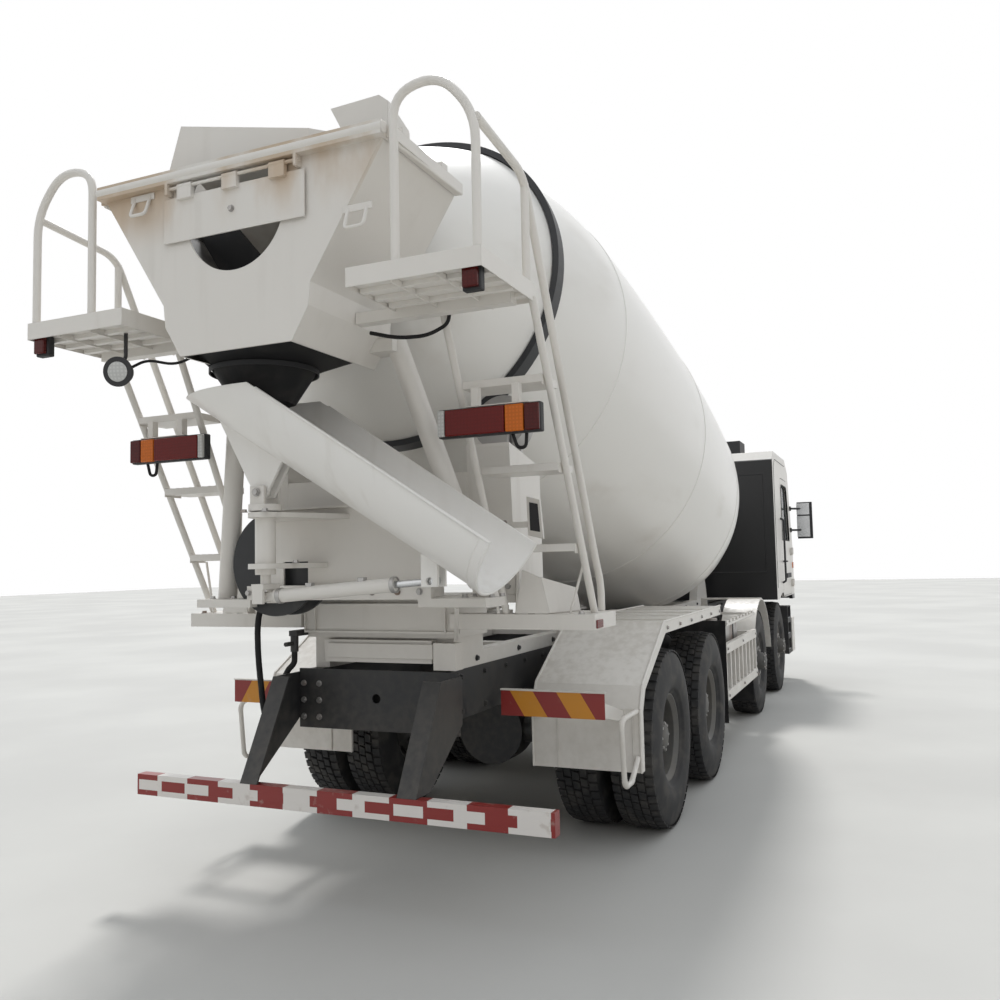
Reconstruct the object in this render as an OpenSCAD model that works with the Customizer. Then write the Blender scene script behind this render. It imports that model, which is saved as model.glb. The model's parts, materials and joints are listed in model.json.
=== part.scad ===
/* [Wheels and axles] */
// Tyre radius, standing on the ground
tyre_r = 555; // [500:5:600]
// Tyre width
tyre_w = 300; // [260:5:320]
// Rim radius at its flange
rim_r = 275; // [250:5:290]
// Distance between the centres of twin tyres
twin_gap = 348; // [330:2:380]
// Track of the driven axles, between the middles of the twins
rear_track = 1832; // [1780:2:1850]
// Track of the steered axles
front_track = 2040; // [1980:2:2080]
// From axle 3 back to axle 4
bogie_step = 1350; // [1300:10:1450]
// From axle 2 back to axle 3
middle_step = 3150; // [2900:10:3600]
// From axle 1 back to axle 2
front_step = 1800; // [1700:10:2000]
// From axle 4 back to the rear edge of the platforms
rear_overhang = 2745; // [2700:5:2900]
// From axle 1 forward to the bumper's face
front_overhang = 1500; // [1450:10:1600]
// Radius of the spindles that carry the wheels
spindle_r = 50; // [40:1:60]
// Radius of the kingpins
kingpin_r = 25; // [20:1:30]
// From the middle of a front wheel in to its kingpin
kingpin_in = 160; // [140:5:200]
// Radial gap of a pin in its bore
running_fit = 0.05; // [0.02:0.01:0.09]

/* [Chassis] */
// Half the width over the chassis rails
rail_y = 430; // [400:5:440]
// Height of the top of the rails
rail_top = 1120; // [1050:5:1130]
// Height of a rail
rail_h = 260; // [220:5:300]
// Width of a rail's flange
rail_flange = 80; // [60:5:100]
// Thickness of a rail's steel
rail_t = 10; // [8:1:14]
// Height of the mixer's subframe on the rails
subframe_h = 80; // [60:5:80]
// Half the overall width over the mudguards
body_y = 1245; // [1200:5:1275]

/* [Drum] */
// Slope of the drum's axis
drum_tilt = 12; // [11:0.5:13]
// Largest radius of the drum
drum_r = 1200; // [1100:10:1210]
// Radius of the drum's mouth
mouth_r = 520; // [450:10:540]
// Thickness of the drum's steel
drum_t = 10; // [8:1:14]
// Outer radius of the roller ring
ring_r = 970; // [960:5:980]
// Width of the roller ring
ring_w = 90; // [70:5:110]
// From axle 4 back to the middle of the ring
ring_back = 1190; // [1180:5:1200]
// Height of the middle of the ring
ring_z = 3270; // [3260:5:3300]
// Radius of a drum roller
roller_r = 150; // [120:5:160]

/* [Rear end] */
// From axle 4 back to the rear plate of the hood
hood_back = 2700; // [2680:5:2710]
// Height of the hood's rim
hood_top = 3430; // [3400:10:3500]
// Height of the platforms
platform_z = 2865; // [2840:5:2900]
// Diameter of the guard rails
rail_tube = 40; // [32:1:48]
// Height of the underrun bar's middle
underrun_z = 549; // [500:1:560]
// Radius of the chute's trough at its top
chute_r = 300; // [280:5:310]
// Radius of the chute's trough at its lower end
chute_low_r = 245; // [220:5:260]
// Thickness of sheet metal
sheet_t = 6; // [4:1:8]

/* [Cab] */
// Width of the cab
cab_w = 2440; // [2300:10:2480]
// Length of the cab
cab_len = 1980; // [1900:10:2000]
// Height of the cab's roof
cab_top = 2990; // [2900:10:3100]
// Thickness of the cab's walls and doors
wall_t = 45; // [35:1:60]

/* [Hidden] */
// Colours as the truck shows them
white = [0.93, 0.92, 0.88];
black = [0.10, 0.10, 0.11];
rubber = [0.13, 0.13, 0.13];
steel = [0.45, 0.46, 0.47];
amber = [0.85, 0.40, 0.12];
smooth = 96;

// Places along the truck, with the origin under the middle of its length
truck_len = rear_overhang + bogie_step + middle_step + front_step + front_overhang;
axle_4 = -truck_len / 2 + rear_overhang;
axle_3 = axle_4 + bogie_step;
axle_2 = axle_3 + middle_step;
axle_1 = axle_2 + front_step;
kingpin_y = front_track / 2 - kingpin_in;
nose = truck_len / 2;

// Front wheels: node name, axle's place, side (1 is left)
FRONT_WHEELS = [
    ["wheel_1_left", axle_1, 1], ["wheel_1_right", axle_1, -1],
    ["wheel_2_left", axle_2, 1], ["wheel_2_right", axle_2, -1]];
// Twin wheels: node name, axle's place, side
TWIN_WHEELS = [
    ["twin_wheel_3_left", axle_3, 1], ["twin_wheel_3_right", axle_3, -1],
    ["twin_wheel_4_left", axle_4, 1], ["twin_wheel_4_right", axle_4, -1]];
// Steering knuckles: node name, axle's place, side
KNUCKLES = [
    ["knuckle_1_left", axle_1, 1], ["knuckle_1_right", axle_1, -1],
    ["knuckle_2_left", axle_2, 1], ["knuckle_2_right", axle_2, -1]];
SINGLES = ["chassis_frame", "underrun_bar", "underrun_legs", "axles", "drive_shafts", "engine", "bumper",
    "cab_steps", "mid_fenders", "rear_fenders", "chevron_boards", "side_guards", "fuel_tank", "battery_box",
    "subframe", "rear_pedestal", "drum_rollers", "drum_drive", "discharge_hood", "feed_hopper", "collector",
    "platforms", "guard_rails", "ladders", "rear_lamps", "hose_reel", "water_hose",
    "hopper_flap", "drum_shell", "drum_blades", "drum_ring", "chute_swivel", "chute", "chute_cylinder",
        "chute_rod",
    "cab_shell", "cab_glass", "cab_interior", "cab_trim", "door_left", "door_right"];

// Shared helpers

// A round bar from point p to point q; the turn keeps its seam clear of what it meets
module bar(p, q, r) {
    d = q - p;
    len = norm(d);
    translate(p) rotate([0, acos(d[2] / len), atan2(d[1], d[0])]) rotate(40)
        cylinder(r = r, h = len, $fn = 32);
}

function unit(v) = v / norm(v);

// Turn of a flat route at its point i, anticlockwise
function turn(p, i) = let (a = unit(p[i] - p[i - 1]), b = unit(p[i + 1] - p[i]))
    atan2(a[0] * b[1] - a[1] * b[0], a * b);

// Length of straight pipe that the bend at point i takes from each side
function cut_back(p, i, bend) = i == 0 || i == len(p) - 1 ? 0 : bend * tan(abs(turn(p, i)) / 2);

// How far a pipe goes into its elbow, and how much thicker the elbow is
socket = 4;
elbow_wall = 1;

// Depth that the pipe goes into the elbow at point i, if there is one
function into(p, i) = i == 0 || i == len(p) - 1 ? 0 : socket;

// Pipe along a flat route of points [x, y], with elbows at its corners
module pipe(p, r, bend) {
    for (i = [0:len(p) - 2]) {
        d = unit(p[i + 1] - p[i]);
        from = p[i] + d * (cut_back(p, i, bend) - into(p, i));
        to = p[i + 1] - d * (cut_back(p, i + 1, bend) - into(p, i + 1));
        translate(from) rotate([0, 90, atan2(d[1], d[0])]) cylinder(r = r, h = norm(to - from), $fn = 32);
    }
    for (i = [1:len(p) - 2]) {
        a = turn(p, i);
        d = unit(p[i] - p[i - 1]);
        side = sign(a);
        start = p[i] - d * cut_back(p, i, bend);
        centre = start + side * bend * [-d[1], d[0]];
        translate(centre) rotate(atan2(start[1] - centre[1], start[0] - centre[0]) + min(a, 0))
            rotate_extrude(angle = abs(a), $fn = smooth) translate([bend, 0])
                circle(r = r + elbow_wall, $fn = 32);
    }
}

// Pipe in a plane across the truck at x, its route given in y and z
module cross_pipe(x, p, r, bend) {
    translate([x, 0, 0]) rotate([90, 0, 90]) pipe(p, r, bend);
}

// Pipe in a plane along the truck at y, its route given in x and z
module side_pipe(y, p, r, bend) {
    translate([0, y, 0]) rotate([90, 0, 0]) pipe(p, r, bend);
}

// Soft tube swept through points that lie about in a plane along the truck
module soft_tube(p, r, sides) {
    last = len(p) - 1;
    rings = [for (i = [0:last])
        let (t = unit(p[min(i + 1, last)] - p[max(i - 1, 0)]), u = unit(cross(t, [0, 1, 0])),
            v = cross(t, u))
        for (k = [0:sides - 1]) p[i] + r * (cos(360 * k / sides) * u + sin(360 * k / sides) * v)];
    walls = [for (i = [0:last - 1], k = [0:sides - 1])
        let (n = (k + 1) % sides) [i * sides + k, i * sides + n, (i + 1) * sides + n, (i + 1) * sides + k]];
    polyhedron(rings, concat(walls, [[for (k = [sides - 1:-1:0]) k]],
        [[for (k = [0:sides - 1]) last * sides + k]]));
}

// The child and its mirror image on the other side of the truck
module both_sides() {
    children();
    mirror([0, 1, 0]) children();
}

// An outline drawn in x and z, given a thickness across the truck from y on outwards
module side_plate(y, t, points) {
    translate([0, y + t, 0]) rotate([90, 0, 0]) linear_extrude(t) polygon(points);
}

// An outline drawn in y and z, given a thickness along the truck from x on forwards
module cross_plate(x, t, points) {
    translate([x, 0, 0]) rotate([90, 0, 90]) linear_extrude(t) polygon(points);
}

// A cylinder that lies across the truck from y on outwards
module across(x, y, z, r, h) {
    translate([x, y + h, z]) rotate([90, 0, 0]) cylinder(r = r, h = h, $fn = smooth);
}

// A box from its lowest to its highest corner
module box(low, high) {
    translate(low) cube(high - low);
}

// Running gear

hub_r = 120;
hub_z = tyre_r;
rim_inner = rim_r - 40;
kingpin_h = 250;
eye_h = 120;
eye_r = 60;
front_wheel_y = front_track / 2;
twin_y = rear_track / 2;
spindle_gap = 60;
seat_gap = 0.3;

// Tyre standing in its own frame, its axle along z, its middle at z = 0
module tyre() {
    w = tyre_w / 2;
    // Half of the tyre's section: radius, distance from the middle plane
    half = [[rim_r + seat_gap, w - 45], [rim_r + 30, w - 15], [rim_r + 110, w], [tyre_r - 60, w - 6],
        [tyre_r - 18, w - 28], [tyre_r, w - 60]];
    color(rubber) rotate_extrude($fn = smooth)
        polygon(concat([for (p = half) [p[0], p[1]]],
            [for (i = [len(half) - 1:-1:0]) [half[i][0], -half[i][1]]]));
}

// Rim and hub of one tyre: the disc is at z = disc_z, the hub's bore takes the spindle
module rim(disc_z, hub_low, hub_high, bore) {
    w = tyre_w / 2 - 45;
    // Section of the rim's well: radius, distance along the axle
    well = [[rim_r, w], [rim_r, w - 14], [rim_inner + 12, w - 40], [rim_inner + 12, 40 - w],
        [rim_r, 14 - w], [rim_r, -w], [rim_r - 14, -w], [rim_inner, 26 - w], [rim_inner, w - 26],
            [rim_r - 14, w]];
    color(steel) difference() {
        union() {
            rotate_extrude($fn = smooth) polygon(well);
            translate([0, 0, disc_z]) cylinder(r = rim_inner + 5, h = 14, $fn = smooth);
            translate([0, 0, hub_low]) cylinder(r = hub_r, h = hub_high - hub_low, $fn = smooth);
        }
        translate([0, 0, hub_low - 1]) cylinder(r = bore, h = spindle_reach(hub_low, hub_high),
            $fn = smooth);
        hand_holes(disc_z, 150 + 35);
    }
}

// The hub's bore stops short of its outer cap
function spindle_reach(low, high) = high - low - 25;

// Openings in a wheel disc between the hub and the rim
module hand_holes(z, radius) {
    for (i = [0:7]) rotate(i * 45) translate([radius, 0, z - 1]) cylinder(r = 26, h = 16, $fn = 32);
}

// A front wheel; its disc is set outwards and its hub reaches back to the knuckle
module front_wheel(x, side) {
    translate([x, side * front_wheel_y, hub_z]) rotate([-90 * side, 0, 0]) {
        tyre();
        rim(60, -40, 150, spindle_r + running_fit);
    }
}

// Twin wheels on one hub: the outer disc is dished inwards, the inner one outwards
module twin_wheel(x, side) {
    translate([x, side * twin_y, hub_z]) rotate([-90 * side, 0, 0]) {
        translate([0, 0, twin_gap / 2]) tyre();
        translate([0, 0, -twin_gap / 2]) tyre();
        color(steel) difference() {
            union() {
                for (s = [-1, 1]) translate([0, 0, s * twin_gap / 2]) rim_band();
                translate([0, 0, -7]) cylinder(r = rim_inner - 40, h = 14, $fn = smooth);
                twin_cones();
                translate([0, 0, -110]) cylinder(r = hub_r, h = 350, $fn = smooth);
            }
            translate([0, 0, -111]) cylinder(r = spindle_r + running_fit, h = 326, $fn = smooth);
        }
    }
}

// The rim's well by itself
module rim_band() {
    w = tyre_w / 2 - 45;
    rotate_extrude($fn = smooth) polygon([[rim_r, w], [rim_r, w - 14], [rim_inner + 12, w - 40],
        [rim_inner + 12, 40 - w], [rim_r, 14 - w], [rim_r, -w], [rim_r - 14, -w], [rim_inner, 26 - w],
        [rim_inner, w - 26], [rim_r - 14, w]]);
}

// The two dished discs that join the wells of twin wheels at the middle
module twin_cones() {
    reach = twin_gap / 2 - 60;
    for (s = [-1, 1]) rotate_extrude($fn = smooth)
        polygon([[rim_inner - 42, 0], [rim_inner - 42, s * 12], [rim_inner + 6, s * reach + s * 12],
            [rim_inner + 6, s * reach - s * 8]]);
}

// Steering knuckle: kingpin, two lugs round the axle's eye, and the spindle
module knuckle(x, side) {
    lug_h = (kingpin_h - eye_h) / 2 - seat_gap;
    color(black) translate([x, side * kingpin_y, hub_z]) {
        translate([0, 0, -kingpin_h / 2]) cylinder(r = kingpin_r, h = kingpin_h, $fn = smooth);
        for (s = [0, 1]) mirror([0, 0, s]) translate([0, 0, eye_h / 2 + seat_gap])
            cylinder(r = eye_r, h = lug_h, $fn = smooth);
        plate_y = eye_r + 10;
        translate([-70, side > 0 ? plate_y : -plate_y - 30, -kingpin_h / 2]) cube([140, 30, kingpin_h]);
        for (s = [0, 1]) mirror([0, 0, s])
            translate([-40, side > 0 ? 0 : -plate_y - 10, eye_h / 2 + seat_gap])
            cube([80, plate_y + 10, lug_h]);
        reach = front_wheel_y + 120 - kingpin_y;
        rotate([-90 * side, 0, 0]) translate([0, 0, plate_y + 10])
            cylinder(r = spindle_r, h = reach - plate_y - 10, $fn = smooth);
    }
}

spring_w = 90;
front_beam_z = hub_z - 20;

// One steered axle: a drop beam between its kingpin eyes, with its two leaf springs
module front_axle(x) {
    difference() {
        union() {
            translate([x - 50, -kingpin_y, hub_z - 55]) cube([100, 2 * kingpin_y, 110]);
            both_sides() translate([x, kingpin_y, hub_z - eye_h / 2])
                cylinder(r = eye_r, h = eye_h, $fn = smooth);
        }
        both_sides() translate([x, kingpin_y, hub_z - eye_h])
            cylinder(r = kingpin_r + running_fit, h = 2 * eye_h, $fn = smooth);
    }
    both_sides() spring_pack(x, hub_z + 55, 700, 5);
}

// A pack of leaves under a rail: longest leaf on top, hangers at its ends up to the rail
module spring_pack(x, z, half_len, leaves) {
    leaf = 16;
    top = z + leaves * leaf;
    for (i = [0:leaves - 1])
        box([x - half_len * (i + 2) / (leaves + 1), rail_y - spring_w, z + i * leaf],
            [x + half_len * (i + 2) / (leaves + 1), rail_y, z + (i + 1) * leaf]);
    for (s = [-1, 1]) box([x + s * half_len - 30, rail_y - spring_w, top - leaf],
        [x + s * half_len + 30, rail_y, rail_top - rail_h]);
}

diff_r = 230;
tube_r = 85;

// One driven axle: tube, differential housing and the two spindles in the twins' hubs
module rear_axle(x) {
    across(x, -twin_y + 190, hub_z, tube_r, 2 * twin_y - 380);
    translate([x - 110, 0, hub_z]) rotate([0, 90, 0]) cylinder(r = diff_r, h = 220, $fn = smooth);
    translate([x + 100, 0, hub_z]) rotate([0, 90, 0]) cylinder(r = 90, h = 160, $fn = smooth);
    across(x, -twin_y - 210, hub_z, spindle_r, 2 * twin_y + 420);
}

// All four axles, with the bogie's springs turned over between axles 3 and 4
module axles() {
    color(black) {
        front_axle(axle_1);
        front_axle(axle_2);
        rear_axle(axle_3);
        rear_axle(axle_4);
        mid = (axle_3 + axle_4) / 2;
        both_sides() {
            for (i = [0:6]) box([mid - bogie_step / 2 * (9 - i) / 9, rail_y - spring_w - 40,
                hub_z + tube_r - 4 + i * 18],
                [mid + bogie_step / 2 * (9 - i) / 9, rail_y - 40, hub_z + tube_r - 4 + (i + 1) * 18]);
            box([mid - 120, rail_y - spring_w - 50, hub_z + tube_r + 80],
                [mid + 120, rail_y - 30, rail_top - rail_h]);
        }
    }
}

shaft_r = 60;

// Propeller shafts from the gearbox to axle 3 and from axle 3 to axle 4
module drive_shafts() {
    color(black) {
        bar([axle_1 - 1101.5, 0, 800], [axle_2 - 900, 0, 720], shaft_r);
        bar([axle_2 - 890, 0, 720], [axle_3 + 265.5, 0, hub_z], shaft_r);
        translate([axle_2 - 960, 0, 718]) rotate([0, 90, 0]) cylinder(r = 80, h = 120, $fn = smooth);
        bar([axle_3 - 110 - seat_gap, 0, hub_z], [axle_4 + 260 + seat_gap, 0, hub_z], shaft_r);
    }
}

// Engine with its gearbox, as one plain mass between the rails
module engine() {
    color(steel) {
        box([axle_1 - 350, -330, 720], [axle_1 + 950, 330, 1380]);
        box([axle_1 - 1098, -230, 650], [axle_1 - 350, 230, 1040]);
    }
}

// Places of the crossmembers, measured from axle 4: place, width along the truck
CROSSMEMBERS = [[-1480, 60], [-300, 60], [1600, 60], [3000, 60], [5080, 60]];
frame_back = axle_4 - 1560;
frame_front = axle_1 + 1235;

// Chassis frame: two channel rails and the crossmembers between them
module chassis_frame() {
    low = rail_top - rail_h;
    color(black) {
        both_sides() translate([frame_back, rail_y, low]) rotate([90, 0, 90])
            linear_extrude(frame_front - frame_back)
            polygon([[0, 0], [-rail_flange, 0], [-rail_flange, rail_t], [-rail_t, rail_t],
                [-rail_t, rail_h - rail_t],
                [-rail_flange, rail_h - rail_t], [-rail_flange, rail_h], [0, rail_h]]);
        for (c = CROSSMEMBERS)
            box([axle_4 + c[0], rail_t - rail_y, low + 30],
                [axle_4 + c[0] + c[1], rail_y - rail_t, rail_top - 30]);
        // Rear plate with the towing fitting
        difference() {
            box([frame_back - 12, -rail_y - 60, low - 60], [frame_back, rail_y + 60, rail_top]);
            translate([frame_back - 20, 0, low + 110]) rotate([0, 90, 0])
                cylinder(r = tow_r, h = 40, $fn = smooth);
        }
    }
}

tow_r = 25;
underrun_back = 2040;
underrun_x = axle_4 - underrun_back;
underrun_half = 1178;
underrun_h = 106;

// Underrun bar behind the rear wheels
module underrun_bar() {
    color(white) box([underrun_x - 20, -underrun_half, underrun_z - underrun_h / 2],
        [underrun_x + 40, underrun_half, underrun_z + underrun_h / 2]);
}

// Two slanted legs that carry the underrun bar
module underrun_legs() {
    top = rail_top - 20;
    foot = underrun_z + underrun_h / 2 + seat_gap;
    color(black) both_sides() {
        side_plate(rail_y + 60 + seat_gap, 12, [[underrun_x - 20, foot], [underrun_x + 120, foot],
            [underrun_x + 480, 860],
            [underrun_x + 480, top], [underrun_x + 250, top]]);
    }
    color(black) both_sides() side_plate(rail_y - 30, 92, [[underrun_x - 20, foot], [underrun_x - 8, foot],
        [underrun_x + 262, top], [underrun_x + 250, top]]);
}

// Front, sides and mudguards

bumper_top = 840;
bumper_low = 380;
tilt_x = nose - 240;
tilt_z = 960;
tilt_pin_r = 20;
tilt_y = 480;

// Bumper with its headlamps, and the brackets with the cab's tilt pins
module bumper() {
    color(white) difference() {
        union() {
            translate([0, 0, bumper_low]) linear_extrude(bumper_top - bumper_low)
                polygon([[nose, -900], [nose, 900], [nose - 120, 1200], [nose - 420, 1200],
                    [nose - 420, 1150],
                    [nose - 150, 1150], [nose - 60, 880], [nose - 60, -880], [nose - 150, -1150],
                    [nose - 420, -1150], [nose - 420, -1200], [nose - 120, -1200]]);
            both_sides() side_plate(rail_y - 100, 80, [[frame_front - 250, rail_top - rail_h - seat_gap],
                [frame_front - 250, 780], [frame_front, bumper_low + 100], [nose - 59, bumper_low + 100],
                [nose - 59, bumper_top - 20], [frame_front + 60, bumper_top - 20],
                [frame_front + 60, rail_top - rail_h - seat_gap]]);
        }
        box([nose - 160, -450, bumper_low + 60], [nose + 10, 450, bumper_low + 160]);
    }
    color(black) both_sides() {
        box([frame_front - 200, rail_y + seat_gap, tilt_z - 50], [tilt_x + 50, tilt_y - 40, tilt_z + 50]);
        across(tilt_x, tilt_y - 41, tilt_z, tilt_pin_r, 120);
    }
}

step_x = nose - 800;

// Cab steps on both sides with the mudguard of the first wheels behind them
module cab_steps() {
    color(black) both_sides() {
        difference() {
            box([step_x, 820, bumper_low], [step_x + 370, 1190, 1010]);
            // Three treads cut into the step's box: height of each tread
            for (z = [430, 640, 850]) box([step_x + 30, 930, z], [step_x + 340, 1200, z + 150]);
        }
        box([step_x + 40, rail_y + seat_gap, 900], [step_x + 200, 820, 960]);
    }
}

guard_r = 660;
guard_t = 12;

// A curved mudguard round a wheel at x, between two angles above the ground line
module arch(x, z, r, y, w, low_angle) {
    difference() {
        across(x, y, z, r + guard_t, w);
        across(x, y - 1, z, r, w + 2);
        box([x - 2 * r, y - 2, z - 2 * r], [x + 2 * r, y + w + 2, z + r * sin(low_angle)]);
    }
}

// Mudguards over the wheels of axle 2, with their stays on the rails
module mid_fenders() {
    color(white) both_sides() {
        arch(axle_2, hub_z, guard_r, 840, 350, 8);
        box([axle_2 - 30, rail_y + seat_gap, rail_top - 180], [axle_2 + 30, 600, rail_top - 120]);
        box([axle_2 - 30, 540, rail_top - 180], [axle_2 + 30, 600, hub_z + guard_r + 4]);
        box([axle_2 - 30, 540, hub_z + guard_r + 4], [axle_2 + 30, 1190, hub_z + guard_r + guard_t + 10]);
    }
}

fender_top = 1294;
fender_front = axle_3 + 330;
fender_back = axle_4 - 250;
fender_foot_x = axle_4 - 865;
fender_foot_z = 516;
fender_in = 610;

// Mudguards over the twins: a long flat top with folded edges, sloping to the rear
module rear_fenders() {
    color(white) both_sides() {
        side_plate(fender_in, body_y - fender_in, [[fender_front, fender_top - guard_t],
            [fender_front, fender_top],
            [fender_back, fender_top], [fender_foot_x + 60, 980], [fender_foot_x, 860],
                [fender_foot_x, fender_foot_z],
            [fender_foot_x + guard_t, fender_foot_z], [fender_foot_x + guard_t, 855],
            [fender_foot_x + 72, 974], [fender_back + 5, fender_top - guard_t]]);
        // Outer edge folded down
        side_plate(body_y - 10, 10, [[fender_front, fender_top - 70], [fender_front, fender_top],
            [fender_back, fender_top],
            [fender_foot_x + 60, 980], [fender_foot_x, 860], [fender_foot_x, fender_foot_z],
            [fender_foot_x + 60, fender_foot_z], [fender_foot_x + 60, 840], [fender_foot_x + 120, 950],
            [fender_back + 30, fender_top - 70]]);
        // Stays on the subframe
        for (x = [axle_3 - 60, axle_4 + 60]) box([x, rail_y + seat_gap, sub_top - 60],
            [x + 60, fender_in + 300, fender_top - guard_t + 1]);
        // Tube loops that guard the rear edges
        loop_x = axle_4 - 1120;
        loop_y = body_y - 20;
        side_pipe(loop_y, [[fender_foot_x - seat_gap, 850], [loop_x - 60, 850], [loop_x - 20, 500],
            [loop_x + 110, 500], [fender_foot_x - seat_gap, 600]], 14, 50);
    }
}

board_x = axle_4 - 1285;

// Two striped boards behind the rear mudguards, with their arms
module chevron_boards() {
    color([0.85, 0.25, 0.15]) both_sides() {
        box([board_x - 4, 600, 868], [board_x, 1175, 1000]);
        for (y = [640, 1120]) side_plate(y, 30, [[board_x - 1, 880], [board_x - 1, 960],
            [fender_foot_x - seat_gap, 850], [fender_foot_x - seat_gap, 790]]);
    }
}

// Side guards between axles 2 and 3: a frame with upright slats, on arms from the rails
module side_guards() {
    x0 = axle_2 - 700;
    x1 = axle_3 + 700;
    color(white) both_sides() {
        for (z = [480, 870]) box([x1, 1180, z], [x0, 1220, z + 80]);
        for (i = [0:8]) box([x1 + i * (x0 - x1 - 40) / 8, 1185, 480],
            [x1 + 40 + i * (x0 - x1 - 40) / 8, 1215, 950]);
        for (x = [x1 + 60, x0 - 120]) box([x, rail_y + seat_gap, 880], [x + 60, 1190, 940]);
    }
}

// Fuel tank on the right, hung on straps from the rail
module fuel_tank() {
    color(steel) box([axle_3 + 900, -1120, 520], [axle_3 + 1900, -520, 1060]);
    color(black) for (x = [axle_3 + 1050, axle_3 + 1700]) {
        box([x, -520 + seat_gap, 560], [x + 50, -rail_y - seat_gap, 1000]);
    }
}

// Battery box and air tanks on the left
module battery_box() {
    color(black) {
        box([axle_3 + 1300, 520, 560], [axle_3 + 1900, 1080, 960]);
        box([axle_3 + 1350, rail_y + seat_gap, 880], [axle_3 + 1420, 520, 940]);
        box([axle_3 + 1780, rail_y + seat_gap, 880], [axle_3 + 1850, 520, 940]);
        for (z = [600, 860]) {
            translate([axle_3 + 840, 760, z + 60]) rotate([0, 90, 0])
                cylinder(r = 120, h = 461, $fn = smooth);
        }
        box([axle_3 + 980, rail_y + seat_gap, 730], [axle_3 + 1040, 760, 850]);
    }
}

// Mixer body

ring_x = axle_4 - ring_back;
drum_front = 6200;
roller_angle = 38;

// Puts the child in the drum's frame: z forwards along its axis, x downwards
module in_drum() {
    translate([ring_x, 0, ring_z]) rotate([0, 90 + drum_tilt, 0]) children();
}

sub_top = rail_top + subframe_h;
pedestal_x = ring_x - 180;
raised_y = 457;

// Subframe on the chassis rails, with the raised beams at the rear and the front pedestal
module subframe() {
    color(white) {
        both_sides() box([frame_back + 60, rail_y - 90, rail_top], [axle_1 - 900, rail_y, sub_top]);
        for (x = [axle_4 - 600, axle_4 + 700, axle_3 + 900, axle_3 + 3200])
            box([x, -rail_y + 90, rail_top + 10], [x + 80, rail_y - 90, sub_top - 10]);
        box([frame_back, -331, rail_top + 40], [frame_back + 60, 331, rail_top + 160]);
        box([frame_back + 25, -raised_y, rail_top + 170], [frame_back + 425, raised_y, rail_top + 355]);
        box([frame_back + 60, -rail_y, sub_top], [frame_back + 425, rail_y, rail_top + 170]);
        // Front pedestal under the gearbox
        both_sides() side_plate(rail_y - 90, 90, [[axle_1 - 1500, sub_top], [axle_1 - 900, sub_top],
            [axle_1 - 1080, 1620], [axle_1 - 1330, 1620]]);
    }
}

roller_w = 110;
roller_gap = 0.6;
roller_seat = ring_r + roller_r + roller_gap;
cheek_reach = 160;

// Height of the sloping seat under the rollers' cheeks at x
function cheek_foot(x) = ring_z - (roller_seat * cos(roller_angle) + cheek_reach + seat_gap
    + (x - ring_x) * sin(drum_tilt)) / cos(drum_tilt);

// Legs of the hood: side, place of the top behind axle 4, its distance from the middle
HOOD_LEGS = [[-1, 2060, 430], [1, 1970, 570]];
leg_r = 50;
leg_top = 2740;
leg_foot_x = axle_4 - 1814;
leg_foot_y = 786;
base_top = 1517;
pedestal_base = rail_top + 355 + seat_gap;
apron_x = axle_4 - 1950;
apron_t = 12;
plate_t = 12;

// Distance of the hood's side from the middle, low down where its legs hold it
function hood_side(z) = hood_half_low + (hood_half_mid - hood_half_low)
    * (z - hood_low) / (shoulder_z - 100 - hood_low)
    + seat_gap;

// Bearing plates of the chute's column: lower face, upper face, half their width at the apron
COLUMN_BEARINGS = [[1672, 1697, 110], [1912, 1937, 240]];

// One upright of the pedestal: two side plates, a web behind them and the seat of the rollers' cheeks
module upright() {
    low_back = [frame_back + 30, pedestal_base];
    low_front = [frame_back + 420, pedestal_base];
    top_front = [pedestal_x + 210, cheek_foot(pedestal_x + 210)];
    top_back = [pedestal_x - 210, cheek_foot(pedestal_x - 210)];
    drop = [0, 20];
    for (y = [560, 790]) side_plate(y, plate_t, [low_back, low_front, top_front - drop / 2,
        top_back - drop / 2]);
    side_plate(560, 242, [top_front, top_back, top_back - drop, top_front - drop]);
    side_plate(571, 220, [low_back, low_back + [plate_t, 0], top_back + [plate_t, 0] - drop / 2,
        top_back - drop / 2]);
}

// Leg of the hood with its bracket, standing on its foot plate
module hood_leg(l) {
    difference() {
        bar([leg_foot_x, l[0] * leg_foot_y, base_top - 21], [axle_4 - l[1], l[0] * l[2], leg_top], leg_r);
        box([leg_foot_x - 200, -leg_foot_y - 100, base_top - 200],
            [leg_foot_x + 200, leg_foot_y + 100, base_top + seat_gap]);
    }
    mirror([0, l[0] < 0 ? 1 : 0, 0]) cross_plate(axle_4 - l[1] - 85, 115,
        [[hood_side(leg_top - 62), leg_top - 62],
        [hood_side(leg_top - 2), leg_top - 2], [l[2] + 30, leg_top - 2], [l[2] + 30, leg_top - 62]]);
}

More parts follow.
